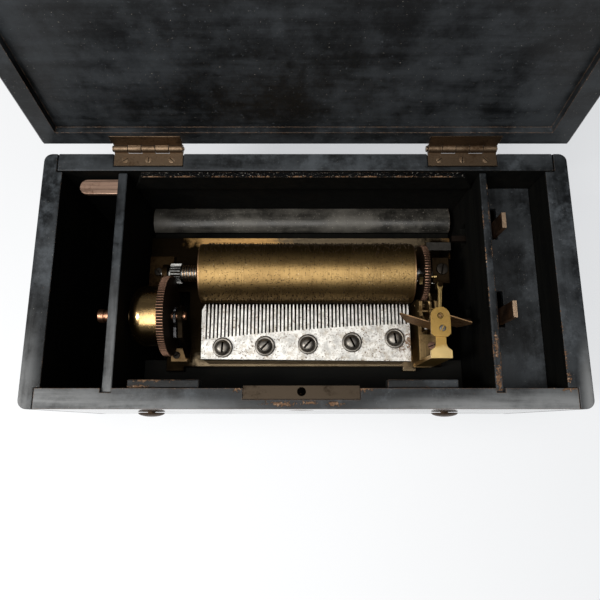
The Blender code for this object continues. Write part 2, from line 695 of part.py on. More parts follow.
def change_star():
    """The small star that steps the cylinder to the next tune, on a stud in the great wheel's face."""
    points = []
    for i in range(8):
        radius = STAR_RADII[i % 2]
        angle = math.radians(90 + 45 * i)
        points.append((STAR_CENTRE[0] + radius * math.cos(angle), STAR_CENTRE[1] + radius * math.sin(angle)))
    star = outline("change_star", points, "x", *STAR_X, "brass", origin=(0, *STAR_CENTRE))
    bore_x = STAR_X[0] - PAST, STAR_X[1] + PAST
    return cut(star, rod("star_bore", "x", *bore_x, STAR_CENTRE, 0.0009, segments=12))


def upright_points(centre, half, foot_z):
    """A plate that stands on foot_z, with a round top about a pivot."""
    points = [(centre[0] - half, foot_z), (centre[0] + half, foot_z)]
    return points + list(arc(centre, half, 0, 180, 10))


def left_bearing_bracket():
    foot_z = BEDPLATE_TOP + GAP
    points = upright_points(CYLINDER_AXIS, 0.0048, foot_z)
    plate = outline("left_bearing_bracket", points, "x", -0.0748, -0.0722, "brass")
    foot = box("left_bracket_foot", (-0.0862, 0.0050, foot_z), (-0.0730, 0.0225, foot_z + 0.0030))
    bore = rod("left_bracket_bore", "x", -0.077, -0.071, CYLINDER_AXIS, PIVOT_RADIUS + RUNNING_GAP)
    return cut(join(plate, foot), bore)


def right_bearing_bracket():
    """A block with the arbor's bearing, and a nose in front that carries the stop detent."""
    low = (0.0660, 0.0020, BEDPLATE_TOP + GAP)
    post = box("right_bearing_bracket", low, (0.0744, 0.0155, BRACKET_TOP), "brass")
    x, y = DETENT_PIVOT
    nose_low = (x - 0.0018, y - 0.0018, BRACKET_TOP - 0.0034)
    nose = box("detent_nose", nose_low, (x + 0.0018, low[1] + PAST, BRACKET_TOP))
    bore = rod("right_bracket_bore", "x", 0.0650, 0.0754, CYLINDER_AXIS, PIVOT_RADIUS + RUNNING_GAP)
    return cut(join(post, nose, detent_stud()), bore)


def change_spring():
    """A flat steel spring on its own leg, behind the right bracket."""
    foot_z, top = BEDPLATE_TOP + GAP, 0.0720
    left, right, thickness = 0.0647, 0.0776, 0.0012
    points = [(left, top - thickness), (right - thickness, top - thickness), (right - thickness, foot_z)]
    points += [(right, foot_z), (right, top), (left, top)]
    return outline("change_spring", points, "y", 0.0212, 0.0257, "steel")


# ------------------------------------------------------------------------------------------------- barrel


def spring_barrel():
    """A turned shell, open at the right, where its wheel closes it."""
    low, high = BARREL_X
    round_off = 0.0070
    outer = list(arc((low + round_off, BARREL_RADIUS - round_off), round_off, 180, 90, 5))
    inner_radius = BARREL_RADIUS - BARREL_WALL
    inner = list(arc((low + round_off, BARREL_RADIUS - round_off), round_off - BARREL_WALL, 90, 180, 3))
    bore = BARREL_ARBOR_RADIUS + RUNNING_GAP
    profile = [(low, bore)] + outer + [(high, BARREL_RADIUS), (high, inner_radius)] + inner
    profile += [(low + BARREL_WALL, bore)]
    return turned("spring_barrel", profile, "x", barrel_axis(), "brass", 36)


def barrel_great_wheel():
    to_pinion = direction_deg(barrel_axis(), CYLINDER_AXIS)
    bore = BARREL_ARBOR_RADIUS + RUNNING_GAP
    return wheel_with_bore("barrel_great_wheel", barrel_axis(), BARREL_WHEEL_TEETH, MODULE, to_pinion,
                           BARREL_WHEEL_X, bore, "dull_brass")


def mainspring():
    """A flat spiral inside the barrel, its outer turn against the wall."""
    turns, around, thickness = 4, 12, 0.0005
    inner, outer = BARREL_ARBOR_RADIUS + 0.0009, BARREL_RADIUS - BARREL_WALL - 0.0008
    low, high = BARREL_X[0] + 0.0068, BARREL_X[1] - 0.0024
    centre = barrel_axis()
    inside, outside = [], []
    for i in range(turns * around + 1):
        angle = 2 * math.pi * i / around
        radius = inner + (outer - inner) * i / (turns * around)
        for radial, points in ((radius, inside), (radius + thickness, outside)):
            points.append((centre[0] + radial * math.cos(angle), centre[1] + radial * math.sin(angle)))
    bm = bmesh.new()
    strips = []
    for i in range(len(inside)):
        corners = (place("x", low, *inside[i]), place("x", high, *inside[i]),
                   place("x", high, *outside[i]), place("x", low, *outside[i]))
        strips.append([bm.verts.new(corner) for corner in corners])
    bm.faces.new(strips[0])
    bm.faces.new(strips[-1])
    for first, second in zip(strips, strips[1:]):
        for k in range(4):
            after = (k + 1) % 4
            bm.faces.new((first[k], first[after], second[after], second[k]))
    return finish("mainspring", bm, "dark_steel", origin=(0, *centre))


def winding_arbor():
    """From the socket for the key in the left compartment to the right bridge."""
    end = -0.1049
    r = BARREL_ARBOR_RADIUS
    profile = [(end, 0), (end, 0.0031), (end + 0.0005, 0.0034), (end + 0.0030, 0.0034)]
    profile += [(end + 0.0032, 0.0029), (end + 0.0040, 0.0029), (end + 0.0042, 0.0033)]
    profile += [(end + 0.0070, 0.0031), (-0.0972, r), (-0.0606, r), (-0.0606, 0)]
    arbor = turned("winding_arbor", profile, "x", barrel_axis(), "dull_brass", 20)
    centre = barrel_axis()
    half = 0.0014
    socket = box("key_socket", (end - 0.001, centre[0] - half, centre[1] - half),
                 (end + 0.006, centre[0] + half, centre[1] + half))
    return cut(arbor, socket)


def arbor_bush():
    axis = barrel_axis()
    low, high = LEFT_PARTITION
    bore = BARREL_ARBOR_RADIUS + RUNNING_GAP
    profile = [(low - 0.0014, bore), (low - 0.0014, 0.0062), (low - GAP, 0.0062), (low - GAP, 0.0045),
               (high + 0.0002, 0.0045), (high + 0.0002, bore)]
    return turned("arbor_bush", profile, "x", axis, "dull_brass", 20)


def ratchet_wheel():
    """Fixed on the winding arbor. Each tooth is steep on one side."""
    centre = barrel_axis()
    points = []
    for tooth in range(RATCHET_TEETH):
        for radius, share in ((RATCHET_RADIUS - 0.0007, 0.02), (RATCHET_RADIUS, 0.90)):
            angle = 2 * math.pi * (tooth + share) / RATCHET_TEETH
            points.append((centre[0] + radius * math.cos(angle), centre[1] + radius * math.sin(angle)))
    wheel = outline("ratchet_wheel", points, "x", *RATCHET_X, "dark_steel", origin=(0, *centre))
    bore_x = RATCHET_X[0] - PAST, RATCHET_X[1] + PAST
    return cut(wheel, rod("ratchet_bore", "x", *bore_x, centre, BARREL_ARBOR_RADIUS + GAP))


def click_pivot():
    y, z = barrel_axis()
    return y - 0.0098, z - 0.0020


def click():
    """The pawl that rests on the ratchet's teeth. It is clear of them by the running gap."""
    pivot = click_pivot()
    centre = barrel_axis()
    tip = centre[0] - RATCHET_RADIUS - RUNNING_GAP, centre[1] + 0.0004
    points = [(pivot[0] - 0.0014, pivot[1] - 0.0016), (pivot[0] + 0.0016, pivot[1] - 0.0012)]
    points += [(tip[0] - 0.0002, tip[1] - 0.0006), tip, (tip[0] - 0.0012, tip[1] + 0.0010)]
    points += [(pivot[0] - 0.0012, pivot[1] + 0.0016)]
    pawl = outline("click", points, "x", *RATCHET_X, "dark_steel", origin=(0, *pivot))
    bore_x = RATCHET_X[0] - PAST, RATCHET_X[1] + PAST
    return cut(pawl, rod("click_bore", "x", *bore_x, pivot, 0.0008, segments=12))


def barrel_bridge():
    """Carries the arbor's right end. Its foot is screwed to the bedplate's front left corner."""
    centre = barrel_axis()
    foot_z = BEDPLATE_TOP + GAP
    points = [(-0.0362, foot_z), (-0.0290, foot_z), (centre[0] + 0.0030, centre[1] - 0.0088)]
    points += list(arc(centre, 0.0052, -20, 150, 9))
    pivot = click_pivot()
    points += [(pivot[0] - 0.0016, centre[1] + 0.0006), (pivot[0] - 0.0030, centre[1] - 0.0080)]
    plate = outline("barrel_bridge", points, "x", *BRIDGE_X, "brass")
    foot_high = (BRIDGE_X[0] + PAST, -0.0290, foot_z + 0.0028)
    foot = box("barrel_bridge_foot", (-0.0720, -0.0362, foot_z), foot_high)
    bore_x = BRIDGE_X[0] - PAST, BRIDGE_X[1] + PAST
    bore = rod("barrel_bridge_bore", "x", *bore_x, centre, BARREL_ARBOR_RADIUS + RUNNING_GAP)
    stud_x = RATCHET_X[0] - 0.0002, BRIDGE_X[0] + PAST
    stud = rod("click_stud", "x", *stud_x, pivot, 0.0005, segments=12)
    return cut(join(plate, foot, stud), bore)


# ---------------------------------------------------------------------------------------------- governor


def governor_plate(side, span, front_top):
    """One of the two upright plates with the wheels' bearings, lower in its front part."""
    first, second = first_arbor(), second_arbor()
    front, rear = GOVERNOR_Y
    low, high = BEDPLATE_TOP + GAP, second[1] + 0.0030
    points = [(front + 0.0020, low), (rear, low), (rear, first[1] + 0.0040), (rear - 0.0024, high)]
    points += [(second[0] - 0.0030, high), (second[0] - 0.0080, front_top), (front + 0.0020, front_top)]
    return outline("governor_plate_" + side, points, "x", *span, "brass")


def governor_frame():
    """The base and two plates for the governor's two arbors, with a shelf in front."""
    foot_z = BEDPLATE_TOP + GAP
    front, rear = GOVERNOR_Y
    left, right = GOVERNOR_LEFT_X[0], GOVERNOR_RIGHT_X[1]
    base = box("governor_frame", (left, front, foot_z), (right, rear, GOVERNOR_BASE_TOP), "brass")
    top = GOVERNOR_SHELF_TOP
    pieces = [
        governor_plate("left", GOVERNOR_LEFT_X, top + 0.0006),
        governor_plate("right", GOVERNOR_RIGHT_X, top - 0.0004),
        box("governor_shelf", (left + 0.0004, front + 0.0022, top - 0.0022), (right - 0.0002, -0.0240, top)),
    ]
    bore = GOVERNOR_PIVOT + RUNNING_GAP
    low_x, high_x = left - PAST, right + PAST
    bores = [rod(f"governor_bore_{number}", "x", low_x, high_x, centre, bore, segments=10)
             for number, centre in enumerate((first_arbor(), second_arbor()))]
    foot_bearing = rod("worm_foot_bearing", "z", foot_z - PAST, foot_z + 0.0060, FLY_AXIS, bore, segments=10)
    return cut(join(base, *pieces), *bores, foot_bearing)


def cock_outline(half, end_half, corners):
    """Half-round over the air brake's pivot, then the corners of its right side, mirrored to the left."""
    x, y = FLY_AXIS[0], FLY_AXIS[1] - 0.0004
    right = [(x + end_half + across, along) for across, along in corners]
    left = [(2 * x - px, py) for px, py in reversed(right)]
    return list(arc((x, y), half, 180, 0, 12)) + right + left


def governor_cock():
    """A strip that comes up from the base and bends over the air brake, under a wider end plate."""
    front, shoulder, chamfer = COCK_LEG_Y[0], -0.0290, 0.0015
    flare = COCK_FOOT_HALF - COCK_NECK_HALF
    neck = [(0, -0.0325), (flare * 0.3, -0.0341), (flare, -0.0353), (flare, front)]
    strip_points = cock_outline(COCK_NECK_HALF, COCK_NECK_HALF, neck)
    strip = outline("governor_cock", strip_points, "z", *COCK_STRIP_Z, "brass")
    plate_points = cock_outline(COCK_HALF, COCK_HALF, [(0, shoulder + chamfer), (-chamfer, shoulder)])
    plate = outline("cock_plate", plate_points, "z", *COCK_PLATE_Z, "brass")
    x = FLY_AXIS[0]
    leg_low = (x - COCK_FOOT_HALF, front, GOVERNOR_BASE_TOP + GAP)
    leg = box("cock_leg", leg_low, (x + COCK_FOOT_HALF, COCK_LEG_Y[1], COCK_STRIP_Z[1] - 0.0004))
    bore_z = COCK_STRIP_Z[0] - PAST, COCK_TOP + PAST
    bore = rod("cock_bore", "z", *bore_z, FLY_AXIS, GOVERNOR_PIVOT + RUNNING_GAP, segments=14)
    return cut(join(strip, plate, leg), bore)


def governor_wheel(name, centre, pinion, wheel):
    """An arbor with its pinion and its wheel, each given as teeth, module, first tooth and x."""
    body = gear(name, centre, *wheel, "dull_brass")
    small = gear(name + "_pinion", centre, *pinion, "steel")
    ends = GOVERNOR_LEFT_X[0] - 0.0002, GOVERNOR_RIGHT_X[1] + 0.0002
    inner = GOVERNOR_LEFT_X[1] + RUNNING_GAP, GOVERNOR_RIGHT_X[0] - RUNNING_GAP
    pivot, thick = GOVERNOR_PIVOT, 0.0009
    profile = [(ends[0], 0), (ends[0], pivot), (inner[0], pivot), (inner[0], thick), (inner[1], thick)]
    profile += [(inner[1], pivot), (ends[1], pivot), (ends[1], 0)]
    arbor = turned(name + "_arbor", profile, "x", centre, "steel", 10)
    return join(body, small, arbor)


def governor_wheels():
    first, second = first_arbor(), second_arbor()
    wheel_x = GREAT_WHEEL_X[1] + 0.0010, GREAT_WHEEL_X[1] + 0.0022
    first_deg = direction_deg(first, CYLINDER_AXIS) + 180 / FIRST_PINION_TEETH
    governor_wheel("first_governor_wheel", first,
                   (FIRST_PINION_TEETH, MODULE, first_deg, (GREAT_WHEEL_X[0], wheel_x[0] + 0.0002)),
                   (FIRST_WHEEL_TEETH, GOVERNOR_MODULE, direction_deg(first, second), wheel_x))
    worm_module = 2 * (second[0] - FLY_AXIS[1] - 0.0016) / WORM_WHEEL_TEETH
    second_deg = direction_deg(second, first) + 180 / SECOND_PINION_TEETH
    pinion_x = WORM_WHEEL_X[1] - 0.0002, wheel_x[1] + 0.0002
    governor_wheel("worm_wheel", second, (SECOND_PINION_TEETH, GOVERNOR_MODULE, second_deg, pinion_x),
                   (WORM_WHEEL_TEETH, worm_module, 180, WORM_WHEEL_X))


def fly_blade(side):
    """A blade beside the axis, from the hub's bar to the tip."""
    half, root = 0.0003, 0.0016
    along = (-root, FLY_RADIUS) if side > 0 else (-FLY_RADIUS, root)
    across = side * FLY_OFFSET
    return box(f"fly_blade_{side}", (along[0], across - half, FLY_Z[0]), (along[1], across + half, FLY_Z[1]))


def fly():
    """The endless screw's core with the air brake at its top: a bar with a blade at each end."""
    foot_z = BEDPLATE_TOP + GAP
    pivot, hub_low = 0.0006, FLY_Z[0] - 0.0010
    profile = [(foot_z + 0.0004, 0), (foot_z + 0.0004, pivot), (foot_z + 0.0034, pivot)]
    profile += [(foot_z + 0.0034, WORM_RADIUS), (hub_low, WORM_RADIUS), (hub_low, 0.0020)]
    profile += [(FLY_Z[1] + 0.0010, 0.0020), (FLY_Z[1] + 0.0010, pivot), (COCK_TOP - 0.0002, pivot)]
    profile.append((COCK_TOP - 0.0002, 0))
    arbor = turned("fly", profile, "z", FLY_AXIS, "dull_brass", 16)
    bar_low = (-0.0011, -FLY_OFFSET - 0.0001, FLY_Z[0] + 0.0020)
    bar = box("fly_bar", bar_low, (0.0011, FLY_OFFSET + 0.0001, FLY_Z[1] - 0.0020))
    pieces = [bar, fly_blade(-1), fly_blade(1)]
    for piece in pieces:
        piece.location = (*FLY_AXIS, 0)
        piece.rotation_euler = (0, 0, math.radians(FLY_TURN_DEG))
    return join(arbor, *pieces)


def stop_detent():
    """The arm from its stud on the right bracket to the air brake's arbor, under the blades."""
    x, y = DETENT_PIVOT
    half = 0.0010
    points = list(arc(DETENT_PIVOT, 0.0016, -20, 200, 8))
    points += [(x - half - 0.0001, y - 0.0030), (DETENT_TIP[0] - half, DETENT_TIP[1])]
    points += [(DETENT_TIP[0] + half, DETENT_TIP[1]), (x + half, y - 0.0030)]
    arm = outline("stop_detent", points, "z", *DETENT_Z, "brass", origin=(x, y, 0))
    bore_z = DETENT_Z[0] - PAST, DETENT_Z[1] + PAST
    return cut(arm, rod("detent_bore", "z", *bore_z, DETENT_PIVOT, 0.0010, segments=14))


def detent_stud():
    """A stud on the right bracket, with a head over the arm."""
    body, pivot, head = 0.0014, 0.0007, 0.0013
    profile = [(BRACKET_TOP - PAST, 0), (BRACKET_TOP - PAST, body), (DETENT_Z[0] - GAP, body)]
    profile += [(DETENT_Z[0] - GAP, pivot), (DETENT_Z[1] + GAP, pivot), (DETENT_Z[1] + GAP, head)]
    profile += [(DETENT_Z[1] + 0.0011, head), (DETENT_Z[1] + 0.0011, 0)]
    return turned("detent_stud", profile, "z", DETENT_PIVOT, "steel", 16)


# ------------------------------------------------------------------------------------------------- levers


def control_lever(name, y, top):
    """An upright plate that rocks about its stud, with a finger through the partition."""
    half, pivot = LEVER_WIDTH / 2, LEVER_PIVOT_Z
    points = [(y - half, top), (y - half, 0.0560), (y - 0.0056, pivot)]
    points += list(arc((y, pivot), 0.0056, 180, 360, 8))
    points += [(y + half, 0.0560), (y + half, top)]
    plate = outline(name, points, "x", *LEVER_X, "dull_brass", origin=(0, y, pivot))
    finger = box(name + "_finger", (0.0800, y - 0.0015, 0.0640), (LEVER_X[0] + 0.0005, y + 0.0015, 0.0665))
    bore = rod(name + "_bore", "x", LEVER_X[0] - 0.001, LEVER_X[1] + 0.001, (y, pivot), 0.0018)
    return cut(join(plate, finger), bore)


def lever_stud(name, y):
    low = LEVER_PLATE_X[1] - 0.0005
    profile = [(low, 0), (low, 0.0040), (LEVER_X[0] - GAP, 0.0040), (LEVER_X[0] - GAP, 0.0015)]
    profile += [(LEVER_X[1] + GAP, 0.0015), (LEVER_X[1] + GAP, 0.0030), (LEVER_X[1] + 0.0013, 0.0030)]
    profile.append((LEVER_X[1] + 0.0013, 0))
    return turned(name, profile, "x", (y, LEVER_PIVOT_Z), "steel", 16)


def lever_bracket():
    """A brass strip on the right partition with both levers' studs."""
    low = (LEVER_PLATE_X[0], STOP_LEVER_Y - 0.0070, LEVER_PIVOT_Z - 0.0050)
    high = (LEVER_PLATE_X[1], CHANGE_LEVER_Y + 0.0070, LEVER_PIVOT_Z + 0.0050)
    strip = box("lever_bracket", low, high, "brass")
    studs = lever_stud("change_lever_stud", CHANGE_LEVER_Y), lever_stud("stop_lever_stud", STOP_LEVER_Y)
    return join(strip, *studs)


def build():
    for obj in list(bpy.data.objects):
        bpy.data.objects.remove(obj)
    front_wall()
    rear_wall()
    side_wall("left_wall", -1, LEFT_WALL)
    side_wall("right_wall", 1, RIGHT_WALL)
    bottom_board()
    partitions()
    control_shelf()
    rear_rail()
    front_batten()
    ledges()
    lock()
    keyhole_escutcheon()
    left_tab()
    for side, x in CASE_SCREWS.items():
        case_screw(side, x)
    pivot = hinge_frame()
    lid(pivot)
    lid_hook_plate(pivot)
    hinge("left", -1, pivot)
    hinge("right", 1, pivot)
    bedplate()
    comb()
    comb_base()
    for number, (centre, slot_deg) in enumerate(zip(COMB_SCREWS, SCREW_SLOT_DEG), 1):
        comb_screw(number, centre, slot_deg)
    cylinder()
    cylinder_arbor()
    cylinder_wheels()
    shift_spring()
    change_star()
    left_bearing_bracket()
    right_bearing_bracket()
    change_spring()
    spring_barrel()
    barrel_great_wheel()
    mainspring()
    winding_arbor()
    arbor_bush()
    ratchet_wheel()
    click()
    barrel_bridge()
    governor_frame()
    governor_cock()
    governor_wheels()
    fly()
    stop_detent()
    control_lever("change_lever", CHANGE_LEVER_Y, 0.0940)
    control_lever("stop_lever", STOP_LEVER_Y, 0.0980)
    lever_bracket()


build()
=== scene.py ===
"""The looks of a key-wound cylinder music box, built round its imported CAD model. Metres, +Z up."""

import json
import math
import random

import bmesh
import bpy
from mathutils import Matrix, Vector


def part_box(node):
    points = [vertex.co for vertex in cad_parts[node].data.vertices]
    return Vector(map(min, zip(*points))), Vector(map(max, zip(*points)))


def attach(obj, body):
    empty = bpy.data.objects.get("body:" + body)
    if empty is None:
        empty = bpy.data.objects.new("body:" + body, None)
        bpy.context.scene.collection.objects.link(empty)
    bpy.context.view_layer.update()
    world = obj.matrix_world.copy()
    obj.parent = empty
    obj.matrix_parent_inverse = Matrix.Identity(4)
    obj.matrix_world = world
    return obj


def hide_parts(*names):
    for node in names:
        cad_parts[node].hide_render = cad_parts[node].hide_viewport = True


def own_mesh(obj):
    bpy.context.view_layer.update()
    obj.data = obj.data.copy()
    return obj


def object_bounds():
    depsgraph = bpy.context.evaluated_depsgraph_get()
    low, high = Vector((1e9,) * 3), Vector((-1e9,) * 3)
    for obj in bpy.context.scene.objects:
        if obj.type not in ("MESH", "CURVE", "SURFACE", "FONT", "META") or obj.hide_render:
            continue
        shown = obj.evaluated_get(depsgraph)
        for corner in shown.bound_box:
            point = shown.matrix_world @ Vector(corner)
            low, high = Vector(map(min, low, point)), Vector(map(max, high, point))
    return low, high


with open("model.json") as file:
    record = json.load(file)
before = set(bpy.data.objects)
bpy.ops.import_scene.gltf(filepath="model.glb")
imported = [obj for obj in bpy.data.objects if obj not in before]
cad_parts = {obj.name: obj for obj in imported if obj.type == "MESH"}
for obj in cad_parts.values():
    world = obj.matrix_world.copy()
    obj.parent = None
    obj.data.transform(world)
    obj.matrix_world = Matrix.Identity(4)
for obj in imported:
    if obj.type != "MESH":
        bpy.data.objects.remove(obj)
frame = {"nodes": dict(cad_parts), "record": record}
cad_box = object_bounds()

random.seed(7)

NODES = frame["nodes"]
BODY_OF = {node: body for body, nodes in frame["record"]["behaviour"]["bodies"].items() for node in nodes}
JOINTS = {joint["name"]: joint for joint in frame["record"]["behaviour"]["joints"]}
FLY_AT = Vector(JOINTS["fly_spin"]["pos_m"])
STAR_AT = Vector(JOINTS["star_turn"]["pos_m"])

# What part.py gives the CAD model.
COMB_TEETH = 56
GREAT_WHEEL_TEETH = {"barrel_great_wheel": 89, "cylinder_great_wheel": 64}
GEAR_MODULE = 0.00045

WALL_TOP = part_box("front_wall")[1].z
CASE_LOW, CASE_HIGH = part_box("left_wall")[0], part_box("right_wall")[1]


def middle(node):
    low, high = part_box(node)
    return (low + high) / 2


# ---- materials


class Paint:
    """One procedural material. Its textures run in the piece's own coordinates, which are the row frame's."""

    MIX_A, MIX_B, MIX_RESULT = 6, 7, 2  # the colour sockets of a Mix node
    ROOT_FADE = 0.00025

    def __init__(self, name, roughness=0.5, metallic=0.0, specular=0.5):
        self.material = bpy.data.materials.new(name)
        self.material.use_nodes = True
        self.nodes = self.material.node_tree.nodes
        self.links = self.material.node_tree.links
        self.shader = self.nodes["Principled BSDF"]
        self.shader.inputs["Roughness"].default_value = roughness
        self.shader.inputs["Metallic"].default_value = metallic
        self.shader.inputs["Specular IOR Level"].default_value = specular
        self.place = self.nodes.new("ShaderNodeTexCoord").outputs["Object"]

    def put(self, socket, value):
        if isinstance(value, bpy.types.NodeSocket):
            self.links.new(value, socket)
        elif isinstance(value, (tuple, list)) and len(value) == 3 and len(socket.default_value) == 4:
            socket.default_value = (*value, 1)
        else:
            socket.default_value = value

    def set(self, **values):
        for name, value in values.items():
            self.put(self.shader.inputs[name.replace("_", " ").title()], value)

    def math(self, operation, first, second=0.0, clamp=False):
        node = self.nodes.new("ShaderNodeMath")
        node.operation = operation
        node.use_clamp = clamp
        self.put(node.inputs[0], first)
        self.put(node.inputs[1], second)
        return node.outputs[0]

    def vector(self, operation, first, second):
        node = self.nodes.new("ShaderNodeVectorMath")
        node.operation = operation
        self.put(node.inputs[0], first)
        self.put(node.inputs[1], second)
        return node.outputs["Value"] if operation in ("LENGTH", "DOT_PRODUCT") else node.outputs["Vector"]

    def noise(self, scale, detail=4.0, rough=0.6, stretch=(1, 1, 1), shift=0.0):
        """From 0 to 1 about 0.5. scale is in cells a metre, and stretch multiplies it along each axis."""
        node = self.nodes.new("ShaderNodeTexNoise")
        where = self.vector("MULTIPLY", self.place, stretch)
        if shift:
            where = self.vector("ADD", where, (shift, shift * 0.7, shift * 1.3))
        self.put(node.inputs["Vector"], where)
        self.put(node.inputs["Scale"], scale)
        self.put(node.inputs["Detail"], detail)
        self.put(node.inputs["Roughness"], rough)
        return node.outputs["Fac"]

    def step(self, factor, low, high):
        """0 below low and 1 above high."""
        node = self.nodes.new("ShaderNodeMapRange")
        node.interpolation_type = "SMOOTHSTEP"
        self.put(node.inputs["Value"], factor)
        self.put(node.inputs["From Min"], low)
        self.put(node.inputs["From Max"], high)
        return node.outputs["Result"]

    def mix(self, factor, first, second):
        node = self.nodes.new("ShaderNodeMix")
        node.data_type = "RGBA"
        self.put(node.inputs["Factor"], factor)
        self.put(node.inputs[self.MIX_A], first)
        self.put(node.inputs[self.MIX_B], second)
        return node.outputs[self.MIX_RESULT]

    def blend(self, factor, first, second):
        """Between two numbers."""
        return self.math("ADD", first, self.math("MULTIPLY", factor, self.math("SUBTRACT", second, first)))

    def edge(self, radius):
        """0 on a flat face, rising to about 0.3 at a right-angled edge."""
        bevel = self.nodes.new("ShaderNodeBevel")
        bevel.samples = 4
        self.put(bevel.inputs["Radius"], radius)
        flat = self.nodes.new("ShaderNodeNewGeometry").outputs["True Normal"]
        return self.math("SUBTRACT", 1.0, self.vector("DOT_PRODUCT", bevel.outputs["Normal"], flat), clamp=True)

    def facing(self, direction, low=0.80, high=0.95):
        """1 on faces that look along the direction or against it."""
        flat = self.nodes.new("ShaderNodeNewGeometry").outputs["True Normal"]
        turned = self.math("ABSOLUTE", self.vector("DOT_PRODUCT", flat, direction))
        return self.step(turned, low, high)

    def past(self, axis, low, high):
        """0 below low and 1 above high, along an axis of the row frame."""
        along = self.vector("DOT_PRODUCT", self.place, {"x": (1, 0, 0), "y": (0, 1, 0), "z": (0, 0, 1)}[axis])
        return self.step(along, low, high)

    def roots(self, y, z, radius):
        """1 inside a radius about an axis along X, so between a wheel's teeth."""
        away = self.vector("MULTIPLY", self.vector("SUBTRACT", self.place, (0, y, z)), (0, 1, 1))
        outside = self.step(self.vector("LENGTH", away, (0, 0, 0)), radius, radius + self.ROOT_FADE)
        return self.math("SUBTRACT", 1.0, outside)

    def spot(self, centre, size):
        """1 at a point, falling to 0 at the surface of an ellipsoid about it."""
        away = self.vector("DIVIDE", self.vector("SUBTRACT", self.place, centre), size)
        return self.math("SUBTRACT", 1.0, self.vector("LENGTH", away, (0, 0, 0)), clamp=True)

    def spots(self, *spots):
        total = self.spot(*spots[0])
        for place in spots[1:]:
            total = self.math("MAXIMUM", total, self.spot(*place))
        return total

    def relief(self, *layers):
        """Bump from (height, depth in metres) layers."""
        normal = None
        for height, depth in layers:
            node = self.nodes.new("ShaderNodeBump")
            self.put(node.inputs["Height"], height)
            self.put(node.inputs["Distance"], depth)
            if normal:
                self.put(node.inputs["Normal"], normal)
            normal = node.outputs["Normal"]
        self.put(self.shader.inputs["Normal"], normal)


GRAIN_STRETCH = 0.08
ALONG = {"x": (GRAIN_STRETCH, 1, 1), "y": (1, GRAIN_STRETCH, 1), "z": (1, 1, GRAIN_STRETCH)}
BRUSH_STRETCH = 0.012
TAN = (0.16, 0.095, 0.055)
PALE_TAN = (0.34, 0.24, 0.17)
# Painted shade: the black of slots, holes and tooth gaps.
SHADE_BLACK = (0.012, 0.010, 0.008)


def scaled(factor, colour):
    return tuple(factor * c for c in colour)


def tinted(colour, factors):
    return tuple(c * f for c, f in zip(colour, factors))


def ebony(name, grain="x", bright=1.0, wear=0.55, worn=(), dust=0.5, roughness=0.36, shiny_front=False,
          specular=0.2, tint=(1.2, 1.36, 1.52), rubbed=(), clouds=0.5):
    """Black stain and polish over brown wood: smeared, dusty, and flaked off at the edges and the worn spots.

    worn are the (centre, size) spots where bare wood shows, and rubbed those where the polish has gone grey.
    shiny_front leaves a fresh gloss on faces that look along Y. clouds is how much bloom level faces have.
    """
    p = Paint(name, specular=specular)
    tint = scaled(bright, tint)
    long_ways = ALONG[grain]
    smear = p.noise(120, 6, 0.66, long_ways)
    cloud = p.noise(30, 6, 0.70)
    level = p.step(p.blend(0.35, cloud, smear), 0.40, 0.62)
    colour = p.mix(level, scaled(0.0035, tint), scaled(0.024, tint))
    bloom = p.step(p.noise(22, 6, 0.76, shift=3.0), 0.50, 0.66)
    up = p.facing((0, 0, 1), 0.5, 0.8)
    colour = p.mix(p.math("MULTIPLY", bloom, p.blend(up, 0.15, clouds)), colour, scaled(0.062, tint))
    if rubbed:
        grey = p.blend(smear, 0.13, 0.26)
        smeared = p.step(p.blend(0.5, cloud, smear), 0.30, 0.55)
        rub = p.math("MULTIPLY", p.step(p.spots(*rubbed), 0.0, 0.9), smeared)
        colour = p.mix(rub, colour, p.vector("MULTIPLY", (0.95, 0.98, 1.0), grey))
    flakes = p.noise(520, 6, 0.78, shift=1.7)
    patches = p.noise(110, 4, 0.65, shift=12.0)
    breakup = p.blend(0.30, flakes, patches)
    uneven = p.math("MULTIPLY", p.math("SUBTRACT", breakup, 0.5), 1.5)
    mask = p.step(p.math("ADD", p.edge(0.0009), uneven), 0.42 - 0.22 * wear, 0.47 - 0.22 * wear)
    if worn:
        crumbs = p.blend(0.45, flakes, p.noise(1300, 4, 0.7, shift=27.0))
        ragged = p.math("MULTIPLY", p.math("SUBTRACT", crumbs, 0.5), 3.6)
        rough_spot = p.math("ADD", p.math("MULTIPLY", p.spots(*worn), 0.85), ragged)
        mask = p.math("MAXIMUM", mask, p.step(rough_spot, 0.50, 0.58))
    bare = p.mix(p.step(p.noise(900, 4, 0.75, long_ways), 0.35, 0.65), (0.11, 0.060, 0.034), TAN)
    bare = p.mix(p.step(p.noise(700, 3, 0.7, shift=5.0), 0.55, 0.68), bare, PALE_TAN)
    colour = p.mix(mask, colour, bare)
    fleck = p.step(p.noise(1500, 2, 0.5, shift=8.0), 0.745 - 0.05 * dust, 0.79 - 0.05 * dust)
    colour = p.mix(p.math("MULTIPLY", fleck, 0.75), colour, (0.26, 0.24, 0.21))
    mark = p.step(p.noise(420, 5, 0.8, shift=15.0), 0.62, 0.70)
    colour = p.mix(p.math("MULTIPLY", mark, 0.5), colour, scaled(0.085, tint))
    p.set(base_color=colour)
    polish = p.blend(level, roughness - 0.06, roughness + 0.18)
    rough = p.blend(mask, p.blend(mark, polish, 0.6), 0.85)
    if shiny_front:
        flat = p.facing((0, 1, 0))
        rough = p.blend(flat, rough, p.blend(level, 0.05, 0.10))
        smear, mask, flakes = (p.math("MULTIPLY", h, p.math("SUBTRACT", 1.0, flat)) for h in (smear, mask, flakes))
    p.set(roughness=rough)
    p.relief((smear, 0.00012), (mask, -0.00020), (flakes, 0.00006))
    return p.material


